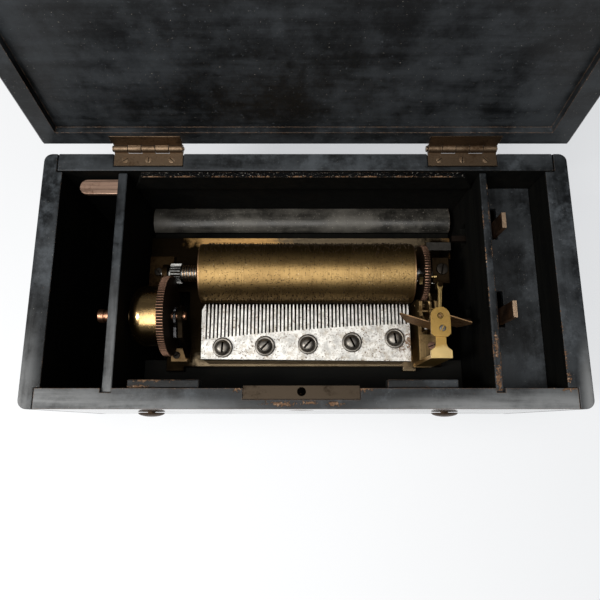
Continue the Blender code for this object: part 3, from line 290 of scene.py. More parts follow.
def inner_wood(name, grain="x", bright=1.0, specular=0.2):
    """Stained softwood that has never been polished. The case's inner faces wear it as painted shade."""
    p = Paint(name, 0.62, specular=specular)
    fibre = p.noise(240, 6, 0.68, ALONG[grain])
    cloud = p.step(p.noise(40, 5, 0.7, shift=3.0), 0.45, 0.70)
    colour = p.mix(p.step(fibre, 0.35, 0.7), scaled(bright, (0.0012, 0.0013, 0.0011)),
                   scaled(bright, (0.0045, 0.0048, 0.0038)))
    colour = p.mix(p.math("MULTIPLY", cloud, 0.4), colour, scaled(bright, (0.0090, 0.0070, 0.0045)))
    fleck = p.step(p.noise(1300, 2, 0.5), 0.78, 0.82)
    p.set(base_color=p.mix(fleck, colour, (0.06, 0.05, 0.035)), roughness=p.blend(fibre, 0.72, 0.95))
    p.relief((fibre, 0.00025))
    return p.material


def brass(name, colour=(0.52, 0.37, 0.155), tarnish=0.5, grain=None, roughness=0.30, specks=0.5, edge=0.5,
          dark_faces=None, dark_roots=None, patches=()):
    """Old brass: brown tarnish in clouds, dark specks, rubbed bright at the edges, brushed along its grain.

    dark_faces is a direction whose faces are painted black. dark_roots is (y, z, radius) of a wheel about X
    whose tooth gaps are painted black as shade inside that radius. patches are (colour, [(centre, size), ...]) with
    ragged rims.
    """
    p = Paint(name, metallic=1.0)
    brown = tinted(colour, (0.33, 0.27, 0.22))
    cloud = p.noise(75, 6, 0.70)
    fine = p.noise(800, 5, 0.75, shift=2.0)
    level = p.step(p.blend(0.4, cloud, fine), 0.60 - 0.24 * tarnish, 0.80 - 0.24 * tarnish)
    tone = p.mix(level, colour, brown)
    bright = tuple(min(1, c * 1.3) for c in colour)
    rub = p.step(p.math("ADD", p.edge(0.0005), p.math("MULTIPLY", p.math("SUBTRACT", fine, 0.5), 0.3)), 0.10, 0.24)
    tone = p.mix(p.math("MULTIPLY", rub, edge), tone, bright)
    speck = p.step(p.noise(1600, 2, 0.5, shift=6.0), 0.76 - 0.06 * specks, 0.81 - 0.06 * specks)
    tone = p.mix(speck, tone, (0.030, 0.018, 0.010))
    rough = p.blend(speck, p.blend(level, roughness, roughness + 0.22), 0.75)
    layers = [(fine, 0.00004)]
    if grain:
        brushed = tuple(BRUSH_STRETCH if v < 1 else v for v in ALONG[grain])
        lines = p.noise(1500, 5, 0.78, brushed)
        tone = p.mix(p.math("MULTIPLY", p.step(lines, 0.47, 0.62), 0.75), tone, scaled(0.30, colour))
        layers.append((lines, 0.00009))
    for patch_colour, places in patches:
        ragged = p.math("ADD", p.spots(*places), p.math("MULTIPLY", p.math("SUBTRACT", cloud, 0.5), 0.9))
        inside = p.step(ragged, 0.10, 0.34)
        tone = p.mix(inside, tone, patch_colour)
    # Painted shade: black in a wheel's tooth gaps; faces along dark_faces are painted black too.
    if dark_faces or dark_roots:
        blackened = p.facing(dark_faces) if dark_faces else 0.0
        if dark_roots:
            blackened = p.math("MAXIMUM", blackened, p.roots(*dark_roots))
        tone = p.mix(blackened, tone, p.mix(fine, (0.010, 0.007, 0.005), (0.050, 0.032, 0.020)))
        rough = p.blend(blackened, rough, 0.62)
    p.set(base_color=tone, roughness=rough)
    p.relief(*layers)
    return p.material


def steel(name, colour=(0.60, 0.60, 0.57), rust=0.4, grain="x", roughness=0.32, worn=(), dark_roots=None,
          freckles=0.0):
    """Ground steel with freckles and stains of brown rust. worn are the (centre, size) spots with more rust."""
    p = Paint(name)
    fine = p.noise(900, 4, 0.7)
    stain = p.noise(150, 6, 0.72, shift=4.0)
    lines = p.noise(2200, 3, 0.7, ALONG[grain])
    tone = p.mix(p.step(p.noise(210, 5, 0.7), 0.40, 0.66), colour, scaled(0.62, colour))
    amount = p.blend(0.45, stain, fine)
    if worn:
        amount = p.math("ADD", amount, p.math("MULTIPLY", p.spots(*worn), 0.25))
    mask = p.step(amount, 0.74 - 0.20 * rust, 0.84 - 0.20 * rust)
    if freckles:
        freckle = p.step(p.noise(1100, 3, 0.6, shift=21.0), 0.72 - 0.12 * freckles, 0.78 - 0.12 * freckles)
        mask = p.math("MAXIMUM", mask, p.math("MULTIPLY", freckle, 0.85))
        smudge = p.step(p.noise(260, 6, 0.78, shift=17.0), 0.50, 0.62)
        tone = p.mix(p.math("MULTIPLY", smudge, 0.6), tone, tinted(colour, (0.50, 0.44, 0.36)))
    # Painted shade: black in the tooth gaps inside the radius.
    if dark_roots:
        tone = p.mix(p.roots(*dark_roots), tone, SHADE_BLACK)
    brown = p.mix(fine, (0.05, 0.026, 0.014), (0.26, 0.15, 0.08))
    p.set(base_color=p.mix(mask, tone, brown))
    polish = p.blend(fine, roughness, roughness + 0.18)
    p.set(metallic=p.blend(mask, 1.0, 0.25), roughness=p.blend(mask, polish, 0.75))
    p.relief((lines, 0.00005), (mask, -0.00006))
    return p.material


# ---- geometry


SMOOTH_DEG = 38
SHARP_DEG = 35
SAME_PLACE = 1e-7


def add_object(name, data):
    obj = bpy.data.objects.new(name, data)
    bpy.context.scene.collection.objects.link(obj)
    return obj


def as_mesh(name, bm):
    """The bmesh as a mesh. The bmesh is freed."""
    mesh = bpy.data.meshes.new(name)
    bm.to_mesh(mesh)
    bm.free()
    return mesh


def add_bmesh(bm, extra):
    """Adds the second bmesh to the first and frees it."""
    mesh = as_mesh("extra", extra)
    bm.from_mesh(mesh)
    bpy.data.meshes.remove(mesh)


def evaluated(obj):
    """The object's mesh with its modifiers applied, or its curve as a mesh."""
    bpy.context.view_layer.update()
    return bpy.data.meshes.new_from_object(obj.evaluated_get(bpy.context.evaluated_depsgraph_get()))


def piece(name, bm, body, material, smooth_deg=SMOOTH_DEG, stands_for=()):
    """Makes the object and ties it to the body that it rides on."""
    bmesh.ops.remove_doubles(bm, verts=bm.verts, dist=SAME_PLACE)
    bmesh.ops.recalc_face_normals(bm, faces=bm.faces)
    mesh = as_mesh(name, bm)
    mesh.shade_smooth()
    mesh.set_sharp_from_angle(angle=math.radians(smooth_deg))
    obj = add_object(name, mesh)
    mesh.materials.append(material)
    if stands_for:
        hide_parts(*stands_for)
    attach(obj, body)
    return obj


def bevel_sharp(bm, width, segments=2):
    edges = [e for e in bm.edges if len(e.link_faces) == 2 and e.calc_face_angle() > math.radians(SHARP_DEG)]
    bmesh.ops.bevel(bm, geom=edges, offset=width, segments=segments, profile=0.6, affect="EDGES", clamp_overlap=True)


def node_mesh(node):
    """The CAD node's mesh with its corners joined and its flat faces whole."""
    bm = bmesh.new()
    bm.from_mesh(NODES[node].data)
    bmesh.ops.remove_doubles(bm, verts=bm.verts, dist=2e-6)
    bmesh.ops.dissolve_limit(bm, angle_limit=math.radians(0.8), verts=bm.verts, edges=bm.edges)
    return bm


def refine(node, width, material, segments=2, smooth_deg=SMOOTH_DEG, inner=None, is_inner=None):
    """Stands for a CAD node with the same shape and softened edges.

    is_inner(normal, centre) picks the faces that wear the inner finish.
    """
    bm = node_mesh(node)
    bevel_sharp(bm, width, segments)
    obj = piece(node + "_shown", bm, BODY_OF[node], material, smooth_deg, (node,))
    modifier = obj.modifiers.new("flat_faces", "WEIGHTED_NORMAL")
    modifier.keep_sharp = True
    modifier.weight = 80
    bake(obj)
    if inner:
        obj.data.materials.append(inner)
        for face in obj.data.polygons:
            if is_inner(face.normal, face.center):
                face.material_index = 1
    return obj


def bake(obj):
    """Puts the result of the object's modifiers in place of its mesh."""
    shown = evaluated(obj)
    obj.modifiers.clear()
    obj.data = shown


def across(axis, along, first, second):
    """The point at a place along an axis and at two places along the others, in the order of their names."""
    if axis == "x":
        return Vector((along, first, second))
    if axis == "y":
        return Vector((first, along, second))
    return Vector((first, second, along))


def turn(bm, profile, axis, centre, segments=96):
    """Adds a profile of (place along the axis, radius) points, turned about the axis."""
    rings = []
    for along, radius in profile:
        if radius < SAME_PLACE:
            rings.append([bm.verts.new(across(axis, along, *centre))] * segments)
            continue
        angles = [2 * math.pi * k / segments for k in range(segments)]
        rings.append([bm.verts.new(across(axis, along, centre[0] + radius * math.cos(a),
                                          centre[1] + radius * math.sin(a))) for a in angles])
    closed = profile[0][1] > SAME_PLACE
    for i in range(len(rings) if closed else len(rings) - 1):
        first, second = rings[i], rings[(i + 1) % len(rings)]
        for k in range(segments):
            after = (k + 1) % segments
            corners = list(dict.fromkeys([first[k], first[after], second[after], second[k]]))
            if len(corners) > 2:
                bm.faces.new(corners)
    return bm


def slab(bm, points, axis, low, high):
    """Adds a flat outline stretched along an axis."""
    bottom = [bm.verts.new(across(axis, low, *point)) for point in points]
    top = [bm.verts.new(across(axis, high, *point)) for point in points]
    bm.faces.new(bottom)
    bm.faces.new(top)
    for i in range(len(points)):
        after = (i + 1) % len(points)
        bm.faces.new((bottom[i], bottom[after], top[after], top[i]))
    return bm


def arc(centre, radius, start_deg, end_deg, steps):
    """Points along an arc, both ends included."""
    for i in range(steps + 1):
        angle = math.radians(start_deg + (end_deg - start_deg) * i / steps)
        yield centre[0] + radius * math.cos(angle), centre[1] + radius * math.sin(angle)


def cut_slot(obj, centre, length, width, depth, angle_deg):
    """Cuts a screwdriver slot into the face at centre, which looks up. The slot's walls are painted black as shade.
    """
    bm = bmesh.new()
    size = Matrix.Diagonal((length, width, 2 * depth, 1))
    spin = Matrix.Rotation(math.radians(angle_deg), 4, "Z")
    bmesh.ops.create_cube(bm, size=1, matrix=Matrix.Translation(centre) @ spin @ size)
    mesh = as_mesh("slot_cutter", bm)
    mesh.materials.append(SLOT_SHADE)
    cutter = add_object("slot_cutter", mesh)
    modifier = obj.modifiers.new("slot", "BOOLEAN")
    modifier.operation = "DIFFERENCE"
    modifier.object = cutter
    modifier.material_mode = "TRANSFER"
    bake(obj)
    obj.data.set_sharp_from_angle(angle=math.radians(SMOOTH_DEG))
    bpy.data.objects.remove(cutter)


# ---- pieces

# Painted shade: black for the insides of screw slots.
SLOT_SHADE = steel("slot_shade", SHADE_BLACK, 0.9, "x", 0.7)
# Painted shade: a near-black finish for the case's inner faces, where shade falls inside the box.
INNER_SHADE = inner_wood("inner_painted_shade", "y", 0.6, 0.08)
UPRIGHT = 0.7  # how far a face's normal goes along an axis when the face looks that way


def under_top_edge(normal, place):
    """True on a partition's sides, and on all of it from a little under the walls' top: the faces that get painted
    shade.
    """
    return abs(normal.z) < 0.3 or place.z < WALL_TOP - 0.008


def black_wood(node, width, grain, is_inner=None, segments=2, **look):
    """Stands for a node in black wood. The faces that is_inner picks are painted near black as shade."""
    material = ebony(node + "_black", grain, **look)
    refine(node, width, material, segments, inner=is_inner and INNER_SHADE, is_inner=is_inner)


def case():
    low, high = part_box("front_wall")
    inner_front, top = high.y, WALL_TOP
    right_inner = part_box("control_shelf")[1].x
    front_worn = [((0.027, inner_front, top), (0.006, 0.003, 0.003)),
                  ((-0.031, inner_front, top), (0.004, 0.003, 0.003)),
                  ((-0.012, low.y + 0.0024, top), (0.014, 0.0020, 0.003)),
                  ((0.002, low.y + 0.0028, top), (0.008, 0.0016, 0.003)),
                  ((0.013, low.y + 0.0024, top), (0.007, 0.0022, 0.003)),
                  ((right_inner, inner_front, top), (0.006, 0.003, 0.006))]
    front_rubbed = [((low.x, low.y, top), (0.085, 0.020, 0.004)), ((high.x, low.y, top), (0.090, 0.014, 0.004)),
                    ((low.x + 0.03, low.y, top), (0.090, 0.008, 0.004)),
                    ((high.x - 0.04, low.y, top), (0.070, 0.009, 0.004))]
    right_worn = [((right_inner, y, top), size) for y, size in (
        (0.003, (0.0012, 0.010, 0.004)), (-0.010, (0.0010, 0.013, 0.004)), (-0.025, (0.0014, 0.015, 0.004)),
        (-0.040, (0.0026, 0.011, 0.005)), (-0.049, (0.0034, 0.006, 0.006)))]
    black_wood("front_wall", 0.0007, "x", lambda normal, place: normal.y > UPRIGHT, worn=front_worn,
               shiny_front=True, wear=0.75, rubbed=front_rubbed, clouds=0.7)
    black_wood("rear_wall", 0.0007, "x", lambda normal, place: normal.y < -UPRIGHT)
    black_wood("left_wall", 0.0007, "y", lambda normal, place: normal.x > UPRIGHT, wear=0.75, clouds=0.7,
               rubbed=[((CASE_LOW.x, CASE_LOW.y - 0.01, top), (0.010, 0.070, 0.004))])
    black_wood("right_wall", 0.0007, "y", lambda normal, place: normal.x < -UPRIGHT, wear=0.75, worn=right_worn,
               clouds=0.7, rubbed=[((CASE_HIGH.x, CASE_LOW.y, top), (0.008, 0.040, 0.004))])
    refine("bottom_board", 0.0005, inner_wood("bottom_board_stain"))
    refine("front_batten", 0.0008, inner_wood("front_batten_stain"))
    left_rubbed = [((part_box("left_partition")[0].x, inner_front - 0.012, top), (0.02, 0.080, 0.008))]
    black_wood("left_partition", 0.0009, "y", under_top_edge, 3, bright=0.9, wear=0.1, rubbed=left_rubbed)
    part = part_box("right_partition")
    centre_x = (part[0].x + part[1].x) / 2
    edge_worn = [((part[1].x, y, part[1].z), (0.0011, reach, 0.0025)) for y, reach in
                 ((-0.040, 0.010), (-0.022, 0.012), (-0.004, 0.010), (0.012, 0.010), (0.032, 0.010), (0.044, 0.006))]
    edge_worn += [((part[0].x, y, part[1].z), (0.0009, reach, 0.0022)) for y, reach in
                  ((-0.036, 0.012), (-0.010, 0.010), (0.010, 0.010), (0.028, 0.008))]
    edge_worn += [((centre_x, -0.049, part[1].z), (0.0028, 0.012, 0.004)),
                  ((centre_x, -0.034, part[1].z), (0.0022, 0.010, 0.003))]
    black_wood("right_partition", 0.0008, "y", under_top_edge, 3, wear=0.7, worn=edge_worn)
    black_wood("control_shelf", 0.0004, "y", bright=0.75, wear=0.1, roughness=0.44)
    rail_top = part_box("rear_rail")[1].z

    # The rail's faces under its slope get painted shade.
    def under_slope(normal, place):
        return place.z < rail_top - 0.004 and abs(normal.y) > 0.98 or place.z < rail_top - 0.0055

    black_wood("rear_rail", 0.0004, "x", under_slope, bright=1.8, wear=0.1, dust=1.5, roughness=0.36,
               specular=0.40, tint=(1.6, 1.5, 1.3), clouds=0.2)
    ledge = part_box("front_ledge_left")
    ledge_worn = [((ledge[0].x + 0.010, ledge[1].y, ledge[1].z), (0.022, 0.002, 0.003)),
                  ((ledge[0].x + 0.004, ledge[0].y, ledge[1].z), (0.012, 0.003, 0.003))]
    black_wood("front_ledge_left", 0.0006, "x", bright=0.7, wear=1.0, worn=ledge_worn, roughness=0.5)
    black_wood("front_ledge_right", 0.0006, "x", bright=0.8, wear=1.1, roughness=0.5)
    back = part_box("rear_ledge")
    back_worn = [((x, back[0].y, back[1].z), (0.012, 0.0014, 0.0018)) for x in
                 (-0.076, -0.060, -0.041, -0.022, -0.004, 0.016, 0.031, 0.048, 0.066)]
    black_wood("rear_ledge", 0.0005, "x", lambda normal, place: normal.z < UPRIGHT, bright=0.06, wear=0.8,
               worn=back_worn, dust=2.0, roughness=0.6, specular=0.05)
    black_wood("lid", 0.0009, "x", wear=0.75, clouds=0.15)


def metal_trim():
    dull = brass("trim_brass", (0.15, 0.105, 0.068), 0.6, None, 0.42)
    domed = brass("case_screw_brass", (0.070, 0.046, 0.030), 0.6, None, 0.46)
    lock_brass = brass("lock_brass", (0.046, 0.035, 0.025), 0.4, None, 0.50, 0.3)
    lock_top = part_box("lock")[1].z
    # Painted shade: the keyhole's walls are black.
    hole = steel("keyhole_dark", SHADE_BLACK, 0.9, "x", 0.7)
    refine("lock", 0.0002, lock_brass, inner=hole,
           is_inner=lambda normal, place: place.z < lock_top - 0.0004)
    for node in ("left_hinge_case_leaf", "right_hinge_case_leaf", "left_hinge_lid_leaf", "right_hinge_lid_leaf",
                 "lid_hook_plate"):
        refine(node, 0.00015, dull, 1)
    for node in ("left_hinge_pin", "right_hinge_pin", "keyhole_escutcheon"):
        refine(node, 0.0001, dull, 1)
    refine("left_tab", 0.0004, brass("tab_brass", (0.42, 0.28, 0.21), 0.5, "x", 0.45))
    for node in ("case_screw_left", "case_screw_right"):
        low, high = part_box(node)
        centre = ((low.x + high.x) / 2, (low.z + high.z) / 2)
        radius, rise, shank, y = (high.x - low.x) / 2, 0.0021, 0.002, low.y
        profile = [(y, 0)] + [(y + rise * (1 - math.cos(a)), radius * math.sin(a)) for a in
                              (math.radians(d) for d in range(12, 85, 9))]
        profile += [(y + rise, radius), (y + rise + 0.0001, shank), (high.y - 0.0015, shank), (high.y, 0)]
        bm = turn(bmesh.new(), profile, "y", centre, 56)
        piece(node + "_shown", bm, "case", domed, SMOOTH_DEG, (node,))


def movement_plates():
    low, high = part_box("bedplate")
    black, dull = (0.006, 0.004, 0.002), (0.17, 0.13, 0.082)
    # Painted shadow: black where shade falls, by the left partition, under the comb and at the right.
    painted_shadows = [((low.x + 0.010, -0.006, high.z), (0.036, 0.062, 0.03)),
              ((low.x, high.y, high.z), (0.026, 0.020, 0.02)), ((-0.058, -0.008, high.z), (0.014, 0.040, 0.02)),
              ((high.x - 0.010, -0.006, high.z), (0.030, 0.050, 0.02)), ((0, -0.008, high.z), (0.090, 0.030, 0.02))]
    # Painted shade: duller patches at the front strip, the rear right and by the bridge.
    painted_dim = [((0.030, high.y, high.z), (0.060, 0.014, 0.02)), ((0.010, low.y, high.z), (0.130, 0.008, 0.01)),
              ((-0.053, low.y + 0.004, high.z), (0.016, 0.014, 0.01))]
    # Painted light: a golden patch where the rear strip is lit.
    golden = [((-0.034, high.y, high.z), (0.046, 0.014, 0.01))]
    plate = brass("bedplate_brass", (0.34, 0.19, 0.070), 0.7, "x", 0.36, 1.0, 0.3,
                  patches=[((0.60, 0.35, 0.13), golden), (dull, painted_dim), (black, painted_shadows)])
    refine("bedplate", 0.0003, plate)
    cock_low, cock_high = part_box("governor_cock")
    # Painted highlight: a brighter patch on the cock's front end.
    painted_gleam = [((FLY_AT.x, cock_low.y, cock_high.z), (0.012, 0.0085, 0.006))]
    bright = brass("cock_brass", (0.42, 0.262, 0.078), 0.25, None, 0.34, 0.5, 1.0,
                   patches=[((0.60, 0.44, 0.19), painted_gleam)])
    refine("governor_cock", 0.00022, bright, 2, 50)
    brown = brass("frame_brass", (0.30, 0.205, 0.095), 0.6, "y", 0.38)
    refine("governor_frame", 0.00025, brown, 2, 50)
    # Painted shade and light: the comb base is near black for the shade under the comb, and its front face a lit
    # olive brown.
    front = Paint("comb_base_lit_front", 0.55, metallic=0.35)
    fine = front.noise(700, 5, 0.75, (0.2, 1, 1))
    front.set(base_color=front.mix(front.step(fine, 0.4, 0.62), (0.36, 0.26, 0.145), (0.17, 0.125, 0.072)))
    front.relief((fine, 0.00006))
    refine("comb_base", 0.00025, brass("comb_base_shaded_brass", (0.012, 0.009, 0.005), 0.5, "x", 0.6, 0.3, 0.1),
           inner=front.material, is_inner=lambda normal, place: normal.y < -UPRIGHT)
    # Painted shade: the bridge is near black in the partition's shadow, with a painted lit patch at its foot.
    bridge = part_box("barrel_bridge")[0]
    foot = [((bridge.x + 0.003, bridge.y + 0.003, bridge.z), (0.012, 0.008, 0.005))]
    refine("barrel_bridge", 0.00025,
           brass("bridge_brass", (0.014, 0.010, 0.006), 0.5, None, 0.55, 0.3, 0.1,
                 patches=[((0.30, 0.20, 0.10), foot)]))
    # Painted shade: the bearing and lever brackets are dark brown, as their brass looks in the box's shade.
    refine("left_bearing_bracket", 0.00025,
           brass("left_bracket_brass", (0.030, 0.018, 0.008), 0.7, None, 0.5, 0.4, 0.2))
    dark = brass("bracket_brass", (0.020, 0.013, 0.007), 0.7, None, 0.5, 0.5, 0.3)
    for node in ("right_bearing_bracket", "lever_bracket"):
        refine(node, 0.00025, dark)
    refine("stop_detent", 0.0003, brass("detent_brass", (0.46, 0.32, 0.13), 0.3, "y", 0.30), 3)
    refine("change_star", 0.0001, brass("star_brass", (0.46, 0.35, 0.16), 0.5, None, 0.3), 1)
    refine("change_spring", 0.0002, steel("spring_steel", (0.060, 0.056, 0.050), 0.3))
    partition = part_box("right_partition")[1].x
    for node in ("change_lever", "stop_lever"):
        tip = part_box(node)[1].z
        p = Paint(node + "_brass", metallic=1.0)
        fine = p.noise(700, 5, 0.75, shift=2.0)
        tone = p.mix(p.step(p.noise(160, 5, 0.7), 0.38, 0.62), (0.36, 0.19, 0.10), (0.14, 0.070, 0.035))
        # Painted highlight: the top edge is pale where light catches it.
        top = p.past("z", tip - 0.0014, tip - 0.0004)
        tone = p.mix(p.math("MULTIPLY", top, 0.85), tone, (0.62, 0.45, 0.31))
        tone = p.mix(p.step(fine, 0.60, 0.70), tone, (0.06, 0.030, 0.015))
        # Painted shade: near black left of the partition, where the lever sits down in its slot.
        finger = p.math("SUBTRACT", 1.0, p.past("x", partition + 0.0045, partition + 0.0055))
        tone = p.mix(finger, tone, (0.014, 0.010, 0.008))
        p.set(base_color=tone, roughness=p.blend(finger, p.blend(fine, 0.34, 0.5), 0.7))
        p.relief((fine, 0.00008))
        refine(node, 0.0006, p.material, 4)


def screw(name, centre, seat, radius, height, slot_deg, material, slot_width=0.00055, washer=0.0):
    """A cheese-headed screw that stands on a face, with its slot and if asked a washer."""
    crown, sunk, washer_top = 0.12 * radius, seat - 0.0010, seat + 0.0006
    profile = [(sunk, 0), (sunk, radius * 0.5), (seat, radius * 0.5)]
    if washer:
        profile += [(seat, washer - 0.0002), (seat + 0.0003, washer), (washer_top, washer - 0.0003),
                    (washer_top, radius)]
    else:
        profile += [(seat, radius)]
    profile += [(seat + height - crown, radius), (seat + height - crown * 0.3, radius * 0.94)]
    profile += [(seat + height, radius * 0.80), (seat + height, 0)]
    obj = piece(name, turn(bmesh.new(), profile, "z", centre, 48), "case", material)
    cut_slot(obj, (*centre, seat + height), radius * 2.4, slot_width, height * 0.55, slot_deg)


def small_screws():
    """The screws and studs on the plates. Their shanks end inside the plate that they stand on."""
    bright = steel("screw_steel", (0.66, 0.65, 0.61), 0.15, "x", 0.26)
    dark = steel("old_screw_steel", (0.030, 0.026, 0.022), 0.35, "x", 0.42)
    brown = brass("shelf_screw_brown", (0.26, 0.155, 0.11), 0.4, None, 0.42)
    cock, (frame_low, frame_high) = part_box("governor_cock"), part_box("governor_frame")
    cock_x, cock_top = (cock[0].x + cock[1].x) / 2, cock[1].z
    screw("cock_screw", (cock_x + 0.0008, FLY_AT.y - 0.0060), cock_top - 0.0006, 0.0015, 0.0010, 62,
          steel("cock_screw_steel", (0.20, 0.19, 0.17), 0.2, "x", 0.36), 0.0007, 0.0019)
    ring = [(cock_top - 0.0004, 0.0008), (cock_top - 0.0004, 0.0015), (cock_top + 0.00004, 0.0015),
            (cock_top + 0.00002, 0.0011), (cock_top - 0.0003, 0.0008)]
    piece("cock_pivot_ring", turn(bmesh.new(), ring, "z", (FLY_AT.x, FLY_AT.y), 40), "case",
          brass("pivot_oil", (0.060, 0.036, 0.018), 0.6, None, 0.3))
    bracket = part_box("right_bearing_bracket")
    side = bracket[0].x
    screw("bracket_screw", ((side + bracket[1].x) / 2 + 0.0006, bracket[1].y - 0.0062),
          bracket[1].z - 0.0037, 0.0030, 0.0014, 78, dark, 0.0009)
    screw("shelf_screw", (frame_high.x - 0.0030, frame_low.y + 0.0094), frame_high.z - 0.0049, 0.0021,
          0.0009, 20, brown, 0.0006)
    screw("frame_stud", (frame_low.x + 0.0088, frame_low.y + 0.00135), frame_low.z + 0.0030, 0.0013,
          0.0036, 95, bright, 0.0006)
    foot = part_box("barrel_bridge")[0]
    screw("bridge_foot_screw", (foot.x + 0.0030, foot.y + 0.0034), foot.z + 0.0028, 0.0019, 0.0012, 30,
          dark)
    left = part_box("left_bearing_bracket")[0]
    screw("left_bracket_screw", (left.x + 0.0050, left.y + 0.00955), left.z + 0.0030, 0.0022, 0.0013, 130,
          dark)
    button = [(side - 0.0010, 0), (side - 0.0010, 0.0007), (side - 0.0004, 0.0007), (side - 0.0004, 0.0009),
              (side - 0.0002, 0.0011), (side + 0.0015, 0.0011), (side + 0.0017, 0.0009), (side + 0.0017, 0)]
    piece("bracket_button", turn(bmesh.new(), button, "x", (STAR_AT.y + 0.0017, STAR_AT.z - 0.0017), 40), "case",
          brass("button_brass", (0.62, 0.44, 0.20), 0.2, None, 0.26))
    pin = [(side - 0.0007, 0), (side - 0.0006, 0.0004), (side + 0.0012, 0.0004), (side + 0.0014, 0)]
    piece("bracket_pin", turn(bmesh.new(), pin, "x", (STAR_AT.y - 0.0013, STAR_AT.z - 0.0038), 24), "case", bright)
    cylinder_at = middle("cylinder_arbor")
    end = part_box("cylinder")[1].x
    register = [(end - 0.0004, 0), (end - 0.0004, 0.0006), (end + 0.0012, 0.0006), (end + 0.0014, 0.0004),
                (end + 0.0014, 0)]
    piece("register_pin", turn(bmesh.new(), register, "x", (cylinder_at.y - 0.00615, cylinder_at.z + 0.0082), 24),
          "cylinder", bright)


def worm_thread():
    """The screw thread on the air brake's arbor, a ridge along a helix."""
    fly_low, fly_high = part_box("fly")
    centre = Vector((FLY_AT.x, FLY_AT.y, 0))
    low, high = fly_low.z + 0.0120, fly_high.z - 0.0163
    pitch, core, crest, around = 0.00092, 0.00105, 0.00158, 20
    steps = int((high - low) / pitch * around)
    bm = bmesh.new()
    rings = []
    for i in range(steps + 1):
        angle, z = 2 * math.pi * i / around, low + (high - low) * i / steps
        fade = min(1, i / around, (steps - i) / around)
        out = Vector((math.cos(angle), math.sin(angle), 0))
        ridge = core + (crest - core) * fade
        shape = ((core, -0.36), (ridge, -0.10), (ridge, 0.10), (core, 0.36))
        rings.append([bm.verts.new(centre + out * r + Vector((0, 0, z + pitch * lift))) for r, lift in shape])
    bm.faces.new(rings[0])
    bm.faces.new(rings[-1][::-1])
    for first, second in zip(rings, rings[1:]):
        for k in range(4):
            bm.faces.new((first[k], first[(k + 1) % 4], second[(k + 1) % 4], second[k]))
    piece("worm_thread", bm, "fly", steel("worm_steel", (0.5, 0.48, 0.44), 0.2))


def hinge_screws():
    """Three screws in each case leaf, just proud of it."""
    finish = brass("hinge_screw_brass", (0.24, 0.17, 0.11), 0.6, None, 0.42)
    for side in ("left", "right"):
        low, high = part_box(f"{side}_hinge_case_leaf")
        for number, share in enumerate((0.16, 0.50, 0.84)):
            x = low.x + (high.x - low.x) * share
            screw(f"{side}_hinge_case_screw_{number}", (x, low.y + 0.0030), WALL_TOP - 0.0001, 0.0016,
                  0.00028, 35 + 50 * number, finish, 0.0004)


def cylinder():
    low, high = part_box("cylinder")
    axis = middle("cylinder")
    centre, radius = (axis.y, axis.z), (high.z - low.z) / 2
    bore, chamfer, groove_deep = 0.0033, 0.0004, 0.0003
    groove_out, groove_mid, groove_in = radius - 0.0010, radius - 0.0013, radius - 0.0016
    profile = [(low.x, bore), (low.x, groove_in), (low.x + groove_deep, groove_mid), (low.x, groove_out),
               (low.x, radius - chamfer), (low.x + chamfer, radius), (high.x - chamfer, radius),
               (high.x, radius - chamfer), (high.x, groove_out), (high.x - groove_deep, groove_mid),
               (high.x, groove_in), (high.x, bore)]
    p = Paint("cylinder_brass", metallic=1.0)
    rings = p.noise(1500, 4, 0.7, (1, 0.03, 0.03))
    cloud = p.noise(55, 5, 0.65)
    fine = p.noise(800, 4, 0.7)
    tone = p.mix(p.step(cloud, 0.35, 0.72), (0.245, 0.160, 0.064), (0.165, 0.104, 0.041))
    tone = p.mix(p.math("MULTIPLY", p.step(rings, 0.5, 0.75), 0.5), tone, (0.11, 0.068, 0.027))
    stain = p.step(p.blend(0.5, p.noise(300, 4, 0.7, shift=2), fine), 0.56, 0.68)
    tone = p.mix(p.math("MULTIPLY", stain, 0.6), tone, (0.10, 0.06, 0.028))
    # Dark specks: dirt, and painted shade of the pins.
    dirt_and_pin_shade = p.step(p.noise(1300, 2, 0.5, shift=9.0), 0.645, 0.70)
    tone = p.mix(dirt_and_pin_shade, tone, (0.022, 0.013, 0.007))
    along = p.math("SUBTRACT", p.vector("DOT_PRODUCT", p.place, (1, 0, 0)), axis.x)
    ends = p.math("GREATER_THAN", p.math("ABSOLUTE", along), (high.x - low.x) / 2 - 0.0008)
    tone = p.mix(p.math("MULTIPLY", ends, 0.6), tone, (0.50, 0.30, 0.17))
    pale = p.step(p.noise(1500, 2, 0.5, shift=31.0), 0.72, 0.76)
    tone = p.mix(pale, tone, (0.55, 0.47, 0.33))
    p.set(base_color=tone, roughness=p.blend(stain, p.blend(rings, 0.34, 0.46), 0.60))
    p.relief((rings, 0.00006), (fine, 0.00006))
    piece("cylinder_shown", turn(bmesh.new(), profile, "x", centre, 192), "cylinder", p.material, 30,
          ("cylinder",))
    pins(low.x, high.x, centre, radius)


